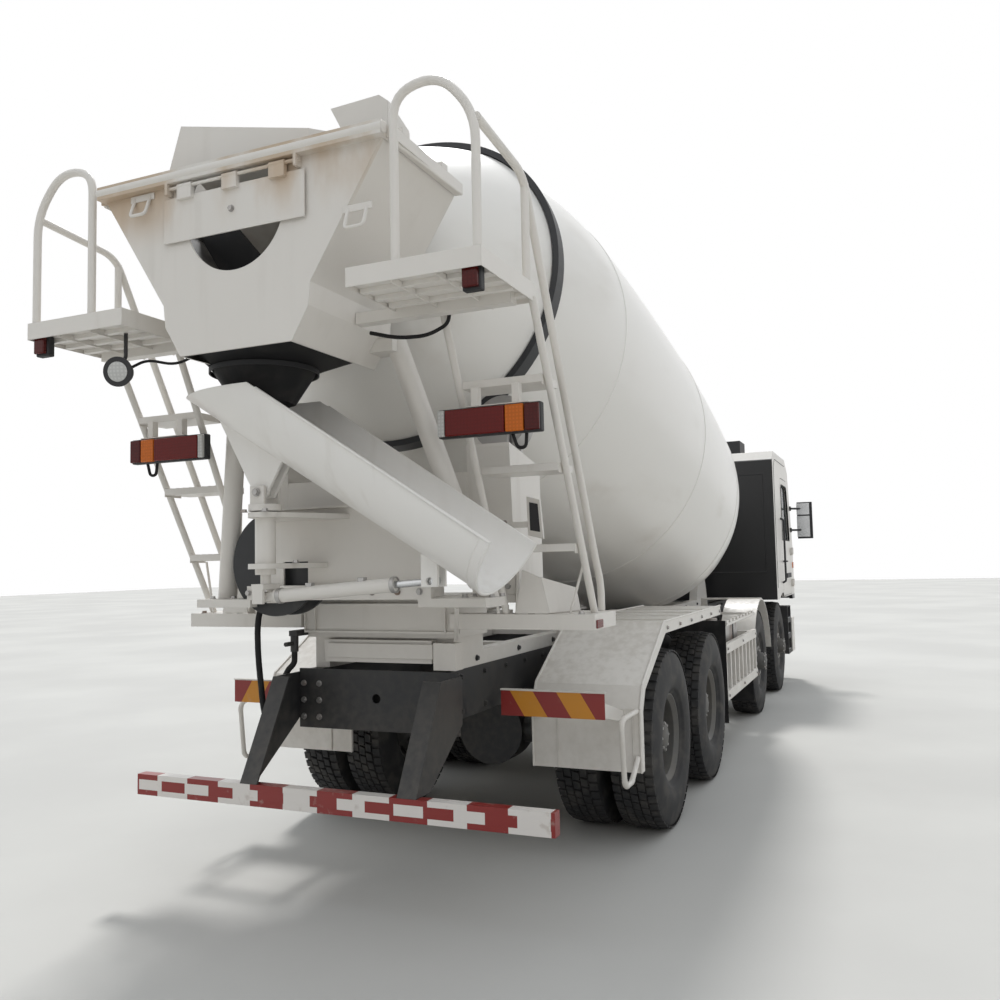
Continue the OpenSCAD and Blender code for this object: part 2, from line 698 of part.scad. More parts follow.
// Rear pedestal: uprights under the rollers, the apron, the hood's legs and the column's bearings
module rear_pedestal() {
    color(white) {
        both_sides() upright();
        box([pedestal_x - 200, -561, 1980], [pedestal_x - 140, 561, 2150]);
        box([frame_back + 20, -802, pedestal_base], [frame_back + 420, 802, pedestal_base + 40]);
    }
    // Apron plate with its flange, post and stays
    color(white) {
        cross_plate(apron_x, apron_t, [[-560, base_top], [160, base_top], [160, 1705], [490, 1705],
            [490, 1980], [-560, 1980]]);
        box([apron_x - 40, -560, base_top - 5], [apron_x + apron_t, 511, 1585]);
        box([apron_x, 310, 1584], [apron_x + apron_t, 390, 1706]);
        box([apron_x - 30, -560, 1968], [apron_x + apron_t, 490, 1980]);
        for (y = [-400, 40]) box([apron_x + apron_t - 1, y, base_top - 5],
            [frame_back + 20 - seat_gap, y + 60, base_top + 55]);
        // Plates that the hood's legs stand on
        both_sides() {
            box([apron_x - 40, 490, 1475], [apron_x + 15, 621, base_top]);
            box([apron_x - 40, 620, 1475], [axle_4 - 1765, 840, base_top]);
            box([axle_4 - 1766, 625, 1475], [frame_back + 20 - seat_gap, 685, base_top]);
        }
    }
    color(white) for (l = HOOD_LEGS) hood_leg(l);
    // Bearing plates of the chute's column, tapered from the apron to the column
    color(white) for (b = COLUMN_BEARINGS) difference() {
        translate([0, 0, b[0]]) linear_extrude(b[1] - b[0]) {
            polygon([[swivel_x, swivel_y - 80], [apron_x - seat_gap, swivel_y - b[2]],
                [apron_x - seat_gap, swivel_y + b[2]],
                [swivel_x, swivel_y + 80]]);
            translate([swivel_x, swivel_y]) circle(r = 80, $fn = smooth);
        }
        translate([swivel_x, swivel_y, b[0] - 1]) cylinder(r = column_r + running_fit, h = b[1] - b[0] + 2,
            $fn = smooth);
    }
}

// The two rollers that carry the ring, each between its bearing cheeks
module drum_rollers() {
    color(steel) for (s = [-1, 1]) in_drum()
        translate([roller_seat * cos(roller_angle), s * roller_seat * sin(roller_angle), 0]) {
            translate([0, 0, -roller_w / 2]) cylinder(r = roller_r, h = roller_w, $fn = smooth);
            translate([0, 0, -110]) cylinder(r = 45, h = 220, $fn = smooth);
            for (z = [-110, 80]) translate([-70, -70, z]) cube([70 + cheek_reach, 140, 30]);
        }
}

// Gearbox and hydraulic motor that turn the drum, on the front pedestal
module drum_drive() {
    color(steel) difference() {
        union() {
            in_drum() {
                translate([0, 0, drum_front + seat_gap]) cylinder(r = 250, h = 60, $fn = smooth);
                translate([0, 0, drum_front + 60]) cylinder(r = 210, h = 300, $fn = smooth);
                translate([0, 0, drum_front + 360]) cylinder(r = 110, h = 130, $fn = smooth);
            }
            box([axle_1 - 1330, -rail_y, 1620 + seat_gap], [axle_1 - 1080, rail_y, 1700]);
            box([axle_1 - 1320, -140, 1700], [axle_1 - 1100, 140, 1900]);
        }
        in_drum() translate([0, 0, drum_front - 1]) cylinder(r = spindle_r + running_fit, h = 120,
            $fn = smooth);
    }
}

ring_inner = 935;

// Drum's outer shape: distance forwards of the ring, radius
DRUM = [[-700, mouth_r], [-660, mouth_r], [-95, 905], [-95, ring_inner - seat_gap],
    [95, ring_inner - seat_gap], [95, 950],
    [820, 1105], [2820, drum_r], [4470, drum_r - 15], [5270, 1020], [6050, 700], [6150, 480],
        [drum_front - 5, 240]];

// Drum shell, open at its mouth, with the shaft stub in the gearbox
module drum_shell() {
    last = len(DRUM) - 1;
    color(white) in_drum() {
        rotate_extrude($fn = 128) polygon(concat(DRUM, [[drum_front - 5, 0]], [[drum_front - 5 - drum_t, 0]],
            [for (i = [last:-1:0]) [DRUM[i][0] - (i == last ? drum_t : 0), DRUM[i][1] - drum_t]])
                * [[0, 1], [1, 0]]);
        translate([0, 0, drum_front - 6]) cylinder(r = 240, h = 6, $fn = smooth);
        translate([0, 0, drum_front - 6]) cylinder(r = spindle_r, h = 116, $fn = smooth);
    }
}

// Spiral blades inside the mouth: from and to along the axis, turn between them, depth at both ends
blade_from = -640;
blade_to = -110;
blade_turn = 210;
blade_depth = [120, 250];
blade_t = 8;
blade_steps = 48;

// Radius of the blades' outer edge: the cone behind the ring, less the shell's steel
function blade_r(z) = mouth_r + (DRUM[2][1] - mouth_r) * (z - DRUM[1][0]) / (DRUM[2][0] - DRUM[1][0])
    - drum_t - seat_gap;

// One blade, swept along its spiral from the given turn as a ring of four corners
module drum_blade(start) {
    corners = [for (i = [0:blade_steps])
        let (t = i / blade_steps, a = start + blade_turn * t, z = blade_from + (blade_to - blade_from) * t,
            low = z - blade_t / 2, high = z + blade_t / 2,
                inner = blade_r(z) - blade_depth[0] - (blade_depth[1] - blade_depth[0]) * t)
        for (c = [[blade_r(low), low], [blade_r(high), high], [inner, high], [inner, low]])
            [c[0] * cos(a), c[0] * sin(a), c[1]]];
    walls = [for (i = [0:blade_steps - 1], k = [0:3], half = [0, 1])
        let (n = (k + 1) % 4, j = 4 * i, m = 4 * (i + 1)) half == 0 ? [j + k, j + n, m + n] : [j + k,
            m + n, m + k]];
    polyhedron(corners, concat(walls, [[3, 2, 1, 0]], [[for (k = [0:3]) 4 * blade_steps + k]]));
}

// The two blades that push the load out when the drum turns backwards
module drum_blades() {
    color(steel) in_drum() for (start = [0, 180]) drum_blade(start);
}

// Steel ring that runs on the rollers
module drum_ring() {
    color(black) in_drum() translate([0, 0, -ring_w / 2]) difference() {
        cylinder(r = ring_r, h = ring_w, $fn = 128);
        translate([0, 0, -1]) cylinder(r = ring_inner, h = ring_w + 2, $fn = 128);
    }
}

hood_x = axle_4 - hood_back;
mouth_x = axle_4 - 1900;
hood_len = 660;
hood_front = hood_x + hood_len;
hood_low = 2620;
shoulder_z = 2860;
hood_half_low = 300;
hood_half_mid = 385;

// Outline of the hood seen from behind, pulled in by the given amount
function hood_outline(in) = [[in - hood_half_low, hood_low], [in - hood_half_mid, shoulder_z - 100],
    [-395 + in, shoulder_z],
    [-764 + in, hood_top], [764 - in, hood_top], [395 - in, shoulder_z],
    [hood_half_mid - in, shoulder_z - 100], [hood_half_low - in, hood_low]];

flap_z = 3380;
flap_pin_r = 8;
flap_half = 380;

// Hood round the drum's mouth: a funnel with a back plate, open above and below
module discharge_hood() {
    wall = sheet_t + 2;
    color(white) difference() {
        union() {
            difference() {
                cross_plate(hood_x, hood_front - hood_x, hood_outline(0));
                translate([0, 0, -2]) cross_plate(hood_x + wall, hood_front - hood_x,
                    hood_outline(wall * 1.4));
                translate([0, 0, 4]) cross_plate(hood_x + wall, hood_front - hood_x,
                    hood_outline(wall * 1.4));
            }
            // Rim channel along the top of the back plate
            box([hood_x - 40, -764, hood_top - 30], [hood_x + 10, 764, hood_top + 30]);
            both_sides() box([hood_x + 10, 750, hood_top - 30], [hood_front, 790, hood_top + 20]);
            // Ears of the flap's hinge
            both_sides() box([hood_x - 40, flap_half - 40, flap_z - 30],
                [hood_x + 1, flap_half - 25, flap_z + 22]);
        }
        // Window behind the flap
        translate([hood_x - 5, 0, 3230]) rotate([0, 90, 0]) cylinder(r = 262, h = 30, $fn = smooth);
    }
    color(white) translate([hood_x - 22, -flap_half + 20, flap_z]) rotate([-90, 0, 0])
        cylinder(r = flap_pin_r, h = 2 * flap_half - 40, $fn = 32);
}

// Flap that hangs over the hood's window
module hopper_flap() {
    color(white) difference() {
        union() {
            box([hood_x - 16, -flap_half, 3135], [hood_x - 10, flap_half, flap_z - 40]);
            for (y = [-250, 0, 250]) {
                box([hood_x - 34, y - 40, flap_z - 60], [hood_x - 10, y + 40, flap_z]);
                translate([hood_x - 22, y - 40, flap_z]) rotate([-90, 0, 0])
                    cylinder(r = 14, h = 80, $fn = 32);
            }
        }
        translate([hood_x - 22, -flap_half, flap_z]) rotate([-90, 0, 0])
            cylinder(r = flap_pin_r + running_fit, h = 2 * flap_half, $fn = 32);
    }
}

hopper_rear = hood_x + 100;
hopper_front = hood_x + 500;
hopper_half = 484;
hopper_low = hood_top + 20 + seat_gap;

// An upright wall of the hopper between two points of the plan, with the heights at its ends
module hopper_wall(p, q, p_top, q_top) {
    len = norm(q - p);
    translate([p[0], p[1], 0]) rotate(atan2(q[1] - p[1], q[0] - p[0])) rotate([90, 0, 0])
        translate([0, 0, -sheet_t / 2])
        linear_extrude(sheet_t) polygon([[0, hopper_low + 20], [len, hopper_low + 20], [len, q_top],
            [0, p_top]]);
}

// Feed hopper: rear lip, flared sides, front wall with its raised corner, floor down to the mouth
module feed_hopper() {
    lip_right = 325;
    color(white) {
        cross_plate(hopper_rear - sheet_t, sheet_t, [[-lip_right - 3, hopper_low + 20],
            [476, hopper_low + 20], [385, 3734],
            [-lip_right - 3, 3572]]);
        hopper_wall([hopper_rear - sheet_t / 2, -lip_right], [hopper_front, -hopper_half], 3572, 3650);
        hopper_wall([hopper_rear - sheet_t / 2, 440], [hopper_front, hopper_half], 3580, 3650);
        // Front wall with its raised corner and the corner's fold
        cross_plate(hopper_front - sheet_t / 2, sheet_t, [[-hopper_half - 2, hopper_low + 20],
            [hopper_half + 2, hopper_low + 20],
            [hopper_half + 2, 3650], [-290, 3650], [-170, 3880], [-440, 3888], [-hopper_half - 2, 3850]]);
        side_plate(-hopper_half - 3, sheet_t, [[hopper_front - 2, 3690], [hopper_front - 2, 3850],
            [hopper_front + 20, 3850],
            [hopper_front + 200, 3790], [hopper_front + 180, 3740]]);
        // Floor that slopes into the mouth
        side_plate(-300, 600, [[hopper_rear - sheet_t, hood_top + 44],
            [hopper_rear - sheet_t, hood_top + 54],
            [mouth_x, 3160], [mouth_x, 3150]]);
        // Feet on the hood's side rims
        for (s = [-1, 1]) mirror([0, s < 0 ? 1 : 0, 0]) {
            box([hopper_rear - sheet_t, s < 0 ? lip_right - 5 : 435, hopper_low],
                [hopper_rear + 54, 790, hopper_low + 26]);
            box([hopper_front - 50, hopper_half - 5, hopper_low], [hopper_front + 4, 790, hopper_low + 26]);
        }
    }
}

swivel_x = axle_4 - 2300;
swivel_y = 150;
collector_low = 2450;

// Rubber funnel below the hood, leading to the chute
module collector() {
    len = hood_low - collector_low;
    color(rubber) difference() {
        translate([swivel_x, swivel_y, collector_low]) cylinder(r1 = 145, r2 = 255, h = len - seat_gap,
            $fn = smooth);
        translate([swivel_x, swivel_y, collector_low - 1])
            cylinder(r1 = 133, r2 = 243, h = len + 1, $fn = smooth);
    }
}

// Platforms on both sides of the hopper, on brackets from the hood's legs
module platforms() {
    color(white) both_sides() {
        box([axle_4 - rear_overhang, 600, platform_z - 55], [axle_4 - 2200, 1195, platform_z]);
        box([axle_4 - 2350, 390.5, platform_z - 105], [axle_4 - 2290, 1150, platform_z - 54]);
    }
}

post_r = rail_tube / 2;

rail_y_out = 1172;
// Route of the long rail on each side: from the rear post forwards and down the ladder to its foot
LONG_RAIL = [[-rear_overhang + 45, 3390], [-2240, 3345], [-1362, 1680], [-1285, 1560],
    [-1285, 1421 + seat_gap]];

// Guard rails round the platforms: posts, hoops and the long rail down the ladder
module guard_rails() {
    back = axle_4 - rear_overhang + 25;
    color(white) both_sides() {
        cross_pipe(back, [[813, platform_z + seat_gap], [813, 3600], [1000, 3620], [rail_y_out, 3450],
            [rail_y_out, platform_z + seat_gap]], post_r, 80);
        side_pipe(rail_y_out, [for (p = LONG_RAIL) p + [axle_4, 0]], post_r, 60);
        translate([axle_4 - 2222, rail_y_out, platform_z + seat_gap])
            cylinder(r = post_r - 1, h = 3290 - platform_z, $fn = 32);
    }
}

ladder_top = platform_z - 55 - seat_gap;
ladder_foot = 1421;
stile_r = 18;
// Stiles of a ladder: place at the top and at the foot behind axle 4, distance from the middle
STILES = [[2208, 1458, 1190], [2217, 1572, 765]];
// Ladder steps: place behind axle 4 of their rear edge, height, depth
STEPS = [[2070, 2507, 200], [1880, 2130, 200], [1680, 1760, 131]];

// A stile, cut level at its top and its foot
module stile(s) {
    run = (s[1] - s[0]) / (ladder_top - ladder_foot) * 60;
    difference() {
        bar([axle_4 - s[0] + run, s[2], ladder_top + 60], [axle_4 - s[1] - run, s[2], ladder_foot - 60],
            stile_r);
        box([axle_4 - 2400, s[2] - 100, ladder_top], [axle_4 - 2000, s[2] + 100, ladder_top + 200]);
        box([axle_4 - 1800, s[2] - 100, ladder_foot - 200],
            [axle_4 - 1300, s[2] + 100, ladder_foot + seat_gap]);
    }
}

// Ladders on both sides: two stiles, three steps and the crossbeam they stand on
module ladders() {
    gap = stile_r + seat_gap;
    color(white) both_sides() {
        for (s = STILES) stile(s);
        for (s = STEPS) box([axle_4 - s[0], STILES[1][2] + gap, s[1] - 35],
            [axle_4 - s[0] + s[2], STILES[0][2] - gap, s[1]]);
        // Crossbeam with its plate to the pedestal
        box([axle_4 - 1600, 803, 1345], [axle_4 - 1250, 1235, ladder_foot]);
        box([axle_4 - 1600, raised_y + seat_gap, 1345], [axle_4 - 1480, 804, ladder_foot]);
        side_plate(820, plate_t, [[axle_4 - 1590, ladder_foot - 1], [axle_4 - 1400, ladder_foot - 1],
            [axle_4 - 1500, 1640],
            [axle_4 - 1560, 1640]]);
    }
}

lamp_x = axle_4 - 2100;

// Rear lamps on their brackets, and the square lamps under the platforms' corners
module rear_lamps() {
    color([0.6, 0.12, 0.08]) both_sides() {
        box([lamp_x - 30, 677, 2247], [lamp_x + 30, 1180, 2379]);
        box([lamp_x + 20, 880, 2378], [lamp_x + 60, 940, STEPS[0][1] - 35 - seat_gap]);
        box([axle_4 - rear_overhang + 10, 1100, platform_z - 155],
            [axle_4 - rear_overhang + 70, 1180, platform_z - 55 - seat_gap]);
    }
}

// Hose reel beside the apron, with the tap under it
module hose_reel() {
    color(black) translate([axle_4 - 1900, 400, 1700]) rotate([0, 90, 0]) {
        for (x = [0, 130]) translate([0, 0, x]) cylinder(r = 275, h = 20, $fn = smooth);
        cylinder(r = 190, h = 150, $fn = smooth);
        translate([-40, 0, apron_t - 50 + seat_gap]) cylinder(r = 40, h = 51 - apron_t, $fn = smooth);
    }
    // Tap at the end of the hose, on its bracket beside the beam
    color(steel) {
        box([axle_4 - 1640, raised_y + seat_gap, 1300], [axle_4 - 1480, 510, 1330]);
        translate([axle_4 - 1620, 488, 1215]) cylinder(r = 22, h = 90, $fn = 32);
        translate([axle_4 - 1700, 488, 1260]) rotate([0, 90, 0]) cylinder(r = 12, h = 90, $fn = 32);
    }
}

// Water hose that hangs from the reel and loops back up: distance from axle 4, place across, height
HOSE = [[-1825, 520, 1510], [-1825, 560, 1440], [-1820, 578, 1360], [-1815, 582, 1280], [-1810, 582, 1200],
    [-1800, 582, 1120], [-1790, 580, 1040], [-1780, 578, 960], [-1765, 575, 890], [-1740, 572, 835],
    [-1705, 570, 815], [-1670, 568, 835], [-1650, 566, 890], [-1640, 563, 960], [-1632, 556, 1040],
    [-1625, 530, 1110], [-1620, 492, 1155], [-1620, 488, 1185], [-1620, 488, 1214.2]];
hose_r = 16;

// Water hose
module water_hose() {
    color(rubber) soft_tube([for (p = HOSE) p + [axle_4, 0, 0]], hose_r, 10);
}

// Discharge chute

chute_slope = 33;
chute_axis_z = 2480;
chute_top = 720;
chute_low = 1335;
chute_cut_z = 2500;
band_w = 50;
tilt_pin_z = 2030;
chute_pin_r = 16;
column_r = 48;
foot_y = swivel_y;
foot_z = 1540;
eye_y = swivel_y - 890;
eye_z = 1605;
cyl_len = norm([eye_y - foot_y, eye_z - foot_z]);
cyl_angle = atan2(eye_z - foot_z, eye_y - foot_y);
fork_x = 46;
fork_t = 16;

// Swivel: column in its bearings, fork for the chute above, fork for the cylinder's foot below
module chute_swivel() {
    column_low = COLUMN_BEARINGS[0][0] - 27;
    collar_low = COLUMN_BEARINGS[1][1] + 6;
    cheek = fork_x + fork_t;
    color(white) {
        difference() {
            union() {
                translate([swivel_x, swivel_y, column_low])
                    cylinder(r = column_r, h = collar_low + 20 - column_low, $fn = smooth);
                translate([swivel_x, swivel_y, collar_low]) cylinder(r = 78, h = 32, $fn = smooth);
                for (s = [0, 1]) mirror([s, 0, 0]) translate([s == 0 ? swivel_x : -swivel_x, 0, 0])
                    box([fork_x, swivel_y - 40, collar_low + 31], [cheek, swivel_y + 40, tilt_pin_z + 30]);
                translate([swivel_x, swivel_y, foot_z + 60])
                    cylinder(r = 24, h = column_low - foot_z - 59, $fn = smooth);
                box([swivel_x - cheek, foot_y - 35, foot_z + 36],
                    [swivel_x + cheek, foot_y + 35, foot_z + 62]);
                for (s = [0, 1]) mirror([s, 0, 0]) translate([s == 0 ? swivel_x : -swivel_x, 0, 0])
                    box([fork_x, foot_y - 30, foot_z - 30], [cheek, foot_y + 30, foot_z + 37]);
            }
            translate([swivel_x - 100, swivel_y, tilt_pin_z]) rotate([0, 90, 0])
                cylinder(r = chute_pin_r + running_fit, h = 200, $fn = smooth);
        }
        // Pin of the cylinder's foot
        translate([swivel_x - cheek + 1, foot_y, foot_z]) rotate([0, 90, 0])
            cylinder(r = chute_pin_r, h = 2 * cheek - 2, $fn = smooth);
    }
}

// Puts the child in the chute's frame: z up the slope, y upwards out of the trough
module in_chute() {
    translate([swivel_x, 0, chute_axis_z]) rotate([chute_slope - 90, 0, 0]) mirror([0, 1, 0]) children();
}

// Trough: half-round and tapered, cut level at its top, with the lugs under it
module chute() {
    reach = chute_top + chute_low;
    wall = sheet_t;
    color(white) difference() {
        union() {
            intersection() {
                in_chute() translate([0, 0, -chute_low]) rotate_extrude($fn = smooth)
                    polygon([[chute_low_r - wall, 0], [chute_low_r, 0], [chute_r, reach],
                        [chute_r - wall, reach]]);
                in_chute() translate([-400, -400, -chute_low]) cube([800, 400, reach]);
                box([swivel_x - 500, -1500, 1000], [swivel_x + 500, 1500, chute_cut_z]);
            }
            // Band round the lower end
            intersection() {
                in_chute() translate([0, 0, -chute_low]) rotate_extrude($fn = smooth)
                    polygon([[chute_low_r - wall, 0], [chute_low_r + 5, 0], [chute_low_r + 6, band_w],
                        [chute_low_r - 2, band_w]]);
                in_chute() translate([-400, -400, -chute_low]) cube([800, 400, band_w]);
            }
            // Tilt lugs, spread out under the trough
            for (s = [-1, 1]) translate([swivel_x + s * 30 - 8, 0, 0]) rotate([90, 0, 90]) linear_extrude(16)
                polygon([[swivel_y - 28, tilt_pin_z - 24], [swivel_y + 28, tilt_pin_z - 24],
                    [swivel_y + 60, tilt_pin_z + 40],
                    [swivel_y + 250, tilt_pin_z + 378], [swivel_y - 130, tilt_pin_z + 148],
                        [swivel_y - 60, tilt_pin_z + 30]]);
            // Lugs for the rod's eye
            for (s = [-1, 1]) translate([swivel_x - 8 + s * 35, 0, 0])
                translate([0, eye_y - 40, eye_z - 25]) cube([16, 80, 140]);
        }
        translate([swivel_x - 100, eye_y, eye_z]) rotate([0, 90, 0])
            cylinder(r = chute_pin_r + 0.5, h = 200, $fn = smooth);
        in_chute() translate([0, 0, -chute_low - 1]) cylinder(r1 = chute_low_r - wall, r2 = chute_r - wall,
            h = reach + 2, $fn = smooth);
    }
    color(white) translate([swivel_x - 65, swivel_y, tilt_pin_z]) rotate([0, 90, 0])
        cylinder(r = chute_pin_r, h = 130, $fn = smooth);
}

// Puts the child in the cylinder's frame: z from the foot towards the rod's eye
module in_cylinder() {
    translate([swivel_x, foot_y, foot_z]) rotate([cyl_angle - 90, 0, 0]) children();
}

barrel_r = 32;
rod_r = 16;
barrel_len = 700;

// Barrel of the lift cylinder
module chute_cylinder() {
    color(black) in_cylinder() difference() {
        union() {
            translate([-20, 0, 0]) rotate([0, 90, 0]) cylinder(r = 25, h = 40, $fn = smooth);
            translate([-20, -20, 0]) cube([40, 40, 62]);
            translate([0, 0, 60]) cylinder(r = barrel_r, h = barrel_len - 60, $fn = smooth);
        }
        translate([-100, 0, 0]) rotate([0, 90, 0]) cylinder(r = chute_pin_r + running_fit, h = 200,
            $fn = smooth);
        translate([0, 0, 75]) cylinder(r = rod_r + running_fit, h = barrel_len, $fn = smooth);
    }
}

// Rod of the lift cylinder, with its eye and pin
module chute_rod() {
    color(steel) in_cylinder() {
        translate([0, 0, 190]) cylinder(r = rod_r, h = cyl_len - 190 - 20, $fn = smooth);
        translate([-20, 0, cyl_len]) rotate([0, 90, 0]) cylinder(r = 24, h = 40, $fn = smooth);
    }
}

// Cab

cab_back = nose - 100 - cab_len;
cab_front = nose - 100;
cab_y = cab_w / 2;
cab_low = 1160;
floor_z = 1440;
door_gap = 8;
door_back = cab_front - 1290;
door_front = cab_front - 330;
door_low = 1180;
door_high = 2700;
belt_z = 1900;

// Side outline of the cab, pulled in by the given amount
function cab_outline(in) = [[cab_back + in, cab_low - (in > 0 ? 500 : 0)],
    [cab_back + in, cab_top - 120 - in / 2],
    [cab_back + 120 + in / 2, cab_top - in], [cab_front - 620, cab_top - in],
        [cab_front - 330 - in / 2, cab_top - 160 - in / 2],
    [cab_front - in, 1800], [cab_front - in, cab_low - 60 - (in > 0 ? 500 : 0)],
    [cab_front - 260, cab_low - 60 - (in > 0 ? 500 : 0)], [cab_front - 300, cab_low - (in > 0 ? 500 : 0)]];

// Door's outline, grown by the given amount
function door_outline(out) = [[door_back - out, door_low - out], [door_back - out, door_high - 90],
    [door_back + 90, door_high + out],
    [door_front - 260, door_high + out], [door_front - 150, door_high - 90 + out],
        [door_front + out, belt_z + 100],
    [door_front + out, door_low - out]];

// Door's window
function door_window() = [[door_back + 90, belt_z], [door_back + 90, door_high - 130],
    [door_back + 150, door_high - 80],
    [door_front - 290, door_high - 80], [door_front - 220, door_high - 140], [door_front - 80, belt_z + 60],
    [door_front - 80, belt_z]];

hinge_z = [1330, 1760];
hinge_r = 10;
hinge_y = cab_y + 24;
hinge_x = door_front + door_gap / 2 + 10;

// Cab shell, hollow and open below, with the floor, windows and door openings
module cab_shell() {
    color(white) difference() {
        union() {
            difference() {
                side_plate(-cab_y, cab_w, cab_outline(0));
                side_plate(-cab_y + wall_t, cab_w - 2 * wall_t, cab_outline(wall_t));
                // Windscreen
                translate([cab_front - 400, -1000, belt_z]) cube([500, 2000, 720]);
                both_sides() side_plate(cab_y - 2 * wall_t, 3 * wall_t, door_outline(door_gap));
                both_sides() across(axle_1, cab_y - 2 * wall_t, hub_z, guard_r + 10, 3 * wall_t);
            }
            box([cab_back + wall_t - 1, -cab_y + wall_t + 10, floor_z - 40],
                [cab_front - wall_t + 1, cab_y - wall_t - 10, floor_z]);
            both_sides() for (z = hinge_z) {
                box([hinge_x - 12, cab_y - 5, z - 62], [hinge_x + 12, hinge_y + 10, z - 42]);
                translate([hinge_x, hinge_y, z - 45]) cylinder(r = hinge_r, h = 90, $fn = 32);
            }
            // Tilt lugs under the front
            both_sides() box([tilt_x - 40, tilt_y - 35, tilt_z - 40],
                [tilt_x + 40, tilt_y + 40, floor_z - 30]);
        }
        both_sides() across(tilt_x, tilt_y - 50, tilt_z, tilt_pin_r + running_fit, 100);
    }
}

glass_t = 8;

// Windscreen, set in its opening
module cab_glass() {
    top = belt_z + 720;
    lean = 330 / (cab_top - 160 - 1800);
    color([0.2, 0.25, 0.28, 0.6]) side_plate(-999.5, 1999,
        [[cab_front - 20 - (belt_z - 1800) * lean, belt_z + 0.5],
            [cab_front - 20 - (top - 1800) * lean, top - 0.5],
        [cab_front - 20 - glass_t - (top - 1800) * lean, top - 0.5],
            [cab_front - 20 - glass_t - (belt_z - 1800) * lean, belt_z + 0.5]]);
}

// Seats, dashboard and steering wheel on the floor
module cab_interior() {
    color([0.2, 0.2, 0.22]) {
        both_sides() {
            box([axle_1 - 150, 330, floor_z + seat_gap], [axle_1 + 350, 830, floor_z + 420]);
            side_plate(330, 500, [[axle_1 - 150, floor_z + 420], [axle_1 - 20, floor_z + 420],
                [axle_1 - 180, floor_z + 1050],
                [axle_1 - 290, floor_z + 1050]]);
        }
        side_plate(-cab_y + wall_t + 60, cab_w - 2 * wall_t - 120,
            [[cab_front - 520, floor_z + seat_gap + 300], [cab_front - 540, belt_z - 60],
            [cab_front - 150, belt_z - 20], [cab_front - 60, floor_z + 300],
                [cab_front - 60, floor_z + seat_gap],
            [cab_front - 200, floor_z + seat_gap]]);
        translate([cab_front - 680, 580, belt_z]) rotate([0, -65, 0]) rotate_extrude($fn = smooth)
            translate([220, 0]) circle(r = 16, $fn = 24);
        bar([cab_front - 500, 580, belt_z - 90], [cab_front - 680, 580, belt_z], 25);
        translate([cab_front - 680, 580, belt_z]) rotate([0, -65, 0]) for (a = [0, 120, 240]) rotate(a)
            translate([0, -14, -8]) cube([222, 28, 16]);
    }
}

// Grille, mirrors and roof deflector in black and grey trim
module cab_trim() {
    color(black) {
        box([cab_front + seat_gap, -900, 1180], [cab_front + 30, 900, 1720]);
        both_sides() {
            for (z = [2050, 2350]) {
                bar([cab_front - 200, cab_y + 14, z], [cab_front - 60, cab_y + 170, z], 14);
                box([cab_front - 230, cab_y + seat_gap, z - 30], [cab_front - 170, cab_y + 20, z + 30]);
            }
            box([cab_front - 100, cab_y + 90, 1930], [cab_front - 40, cab_y + 290, 2440]);
        }
        box([cab_back + 300, -800, cab_top + seat_gap], [cab_back + 700, 800, cab_top + 180]);
    }
}

// Door of the cab on the left side: panel with its window cut, handle and hinge barrels
module door() {
    color(white) difference() {
        union() {
            difference() {
                side_plate(cab_y - wall_t, wall_t, door_outline(0));
                side_plate(cab_y - wall_t - 1, wall_t + 2, door_window());
            }
            for (z = hinge_z) {
                translate([hinge_x, hinge_y, z - 41]) cylinder(r = hinge_r + 8, h = 82, $fn = 32);
                box([door_front - 60, cab_y - 5, z - 30], [door_front, hinge_y + 12, z + 30]);
                box([door_front - 1, cab_y + 6, z - 30], [hinge_x, hinge_y + 12, z + 30]);
            }
        }
        for (z = hinge_z) translate([hinge_x, hinge_y, z - 50])
            cylinder(r = hinge_r + running_fit, h = 200, $fn = 32);
    }
}

module door_left() { door(); }

module door_right() { mirror([0, 1, 0]) door(); }

chassis_frame();
underrun_bar();
underrun_legs();
axles();
drive_shafts();
engine();
bumper();
cab_steps();
mid_fenders();
rear_fenders();
chevron_boards();
side_guards();
fuel_tank();
battery_box();
subframe();
rear_pedestal();
drum_rollers();
drum_drive();
discharge_hood();
feed_hopper();
collector();
platforms();
guard_rails();
ladders();
rear_lamps();
hose_reel();
water_hose();
hopper_flap();
drum_shell();
drum_blades();
drum_ring();
chute_swivel();
chute();
chute_cylinder();
chute_rod();
cab_shell();
cab_glass();
cab_interior();
cab_trim();
door_left();
door_right();
for (w = FRONT_WHEELS) front_wheel(w[1], w[2]);
for (w = TWIN_WHEELS) twin_wheel(w[1], w[2]);
for (k = KNUCKLES) knuckle(k[1], k[2]);
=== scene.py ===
# %% [markdown]
# # A concrete mixer truck, dressed around its CAD frame
# The frame gives every solid in metres, with +X forwards, +Y to the truck's left and the ground at z = 0.
# This script adds what a render needs: finishes, tyres with tread, welds, bolts, lamps and the water hose.

# %% Load the frame
import json
from math import asin, cos, pi, radians, sin

import bmesh
import bpy
import numpy as np
from mathutils import Matrix, Vector

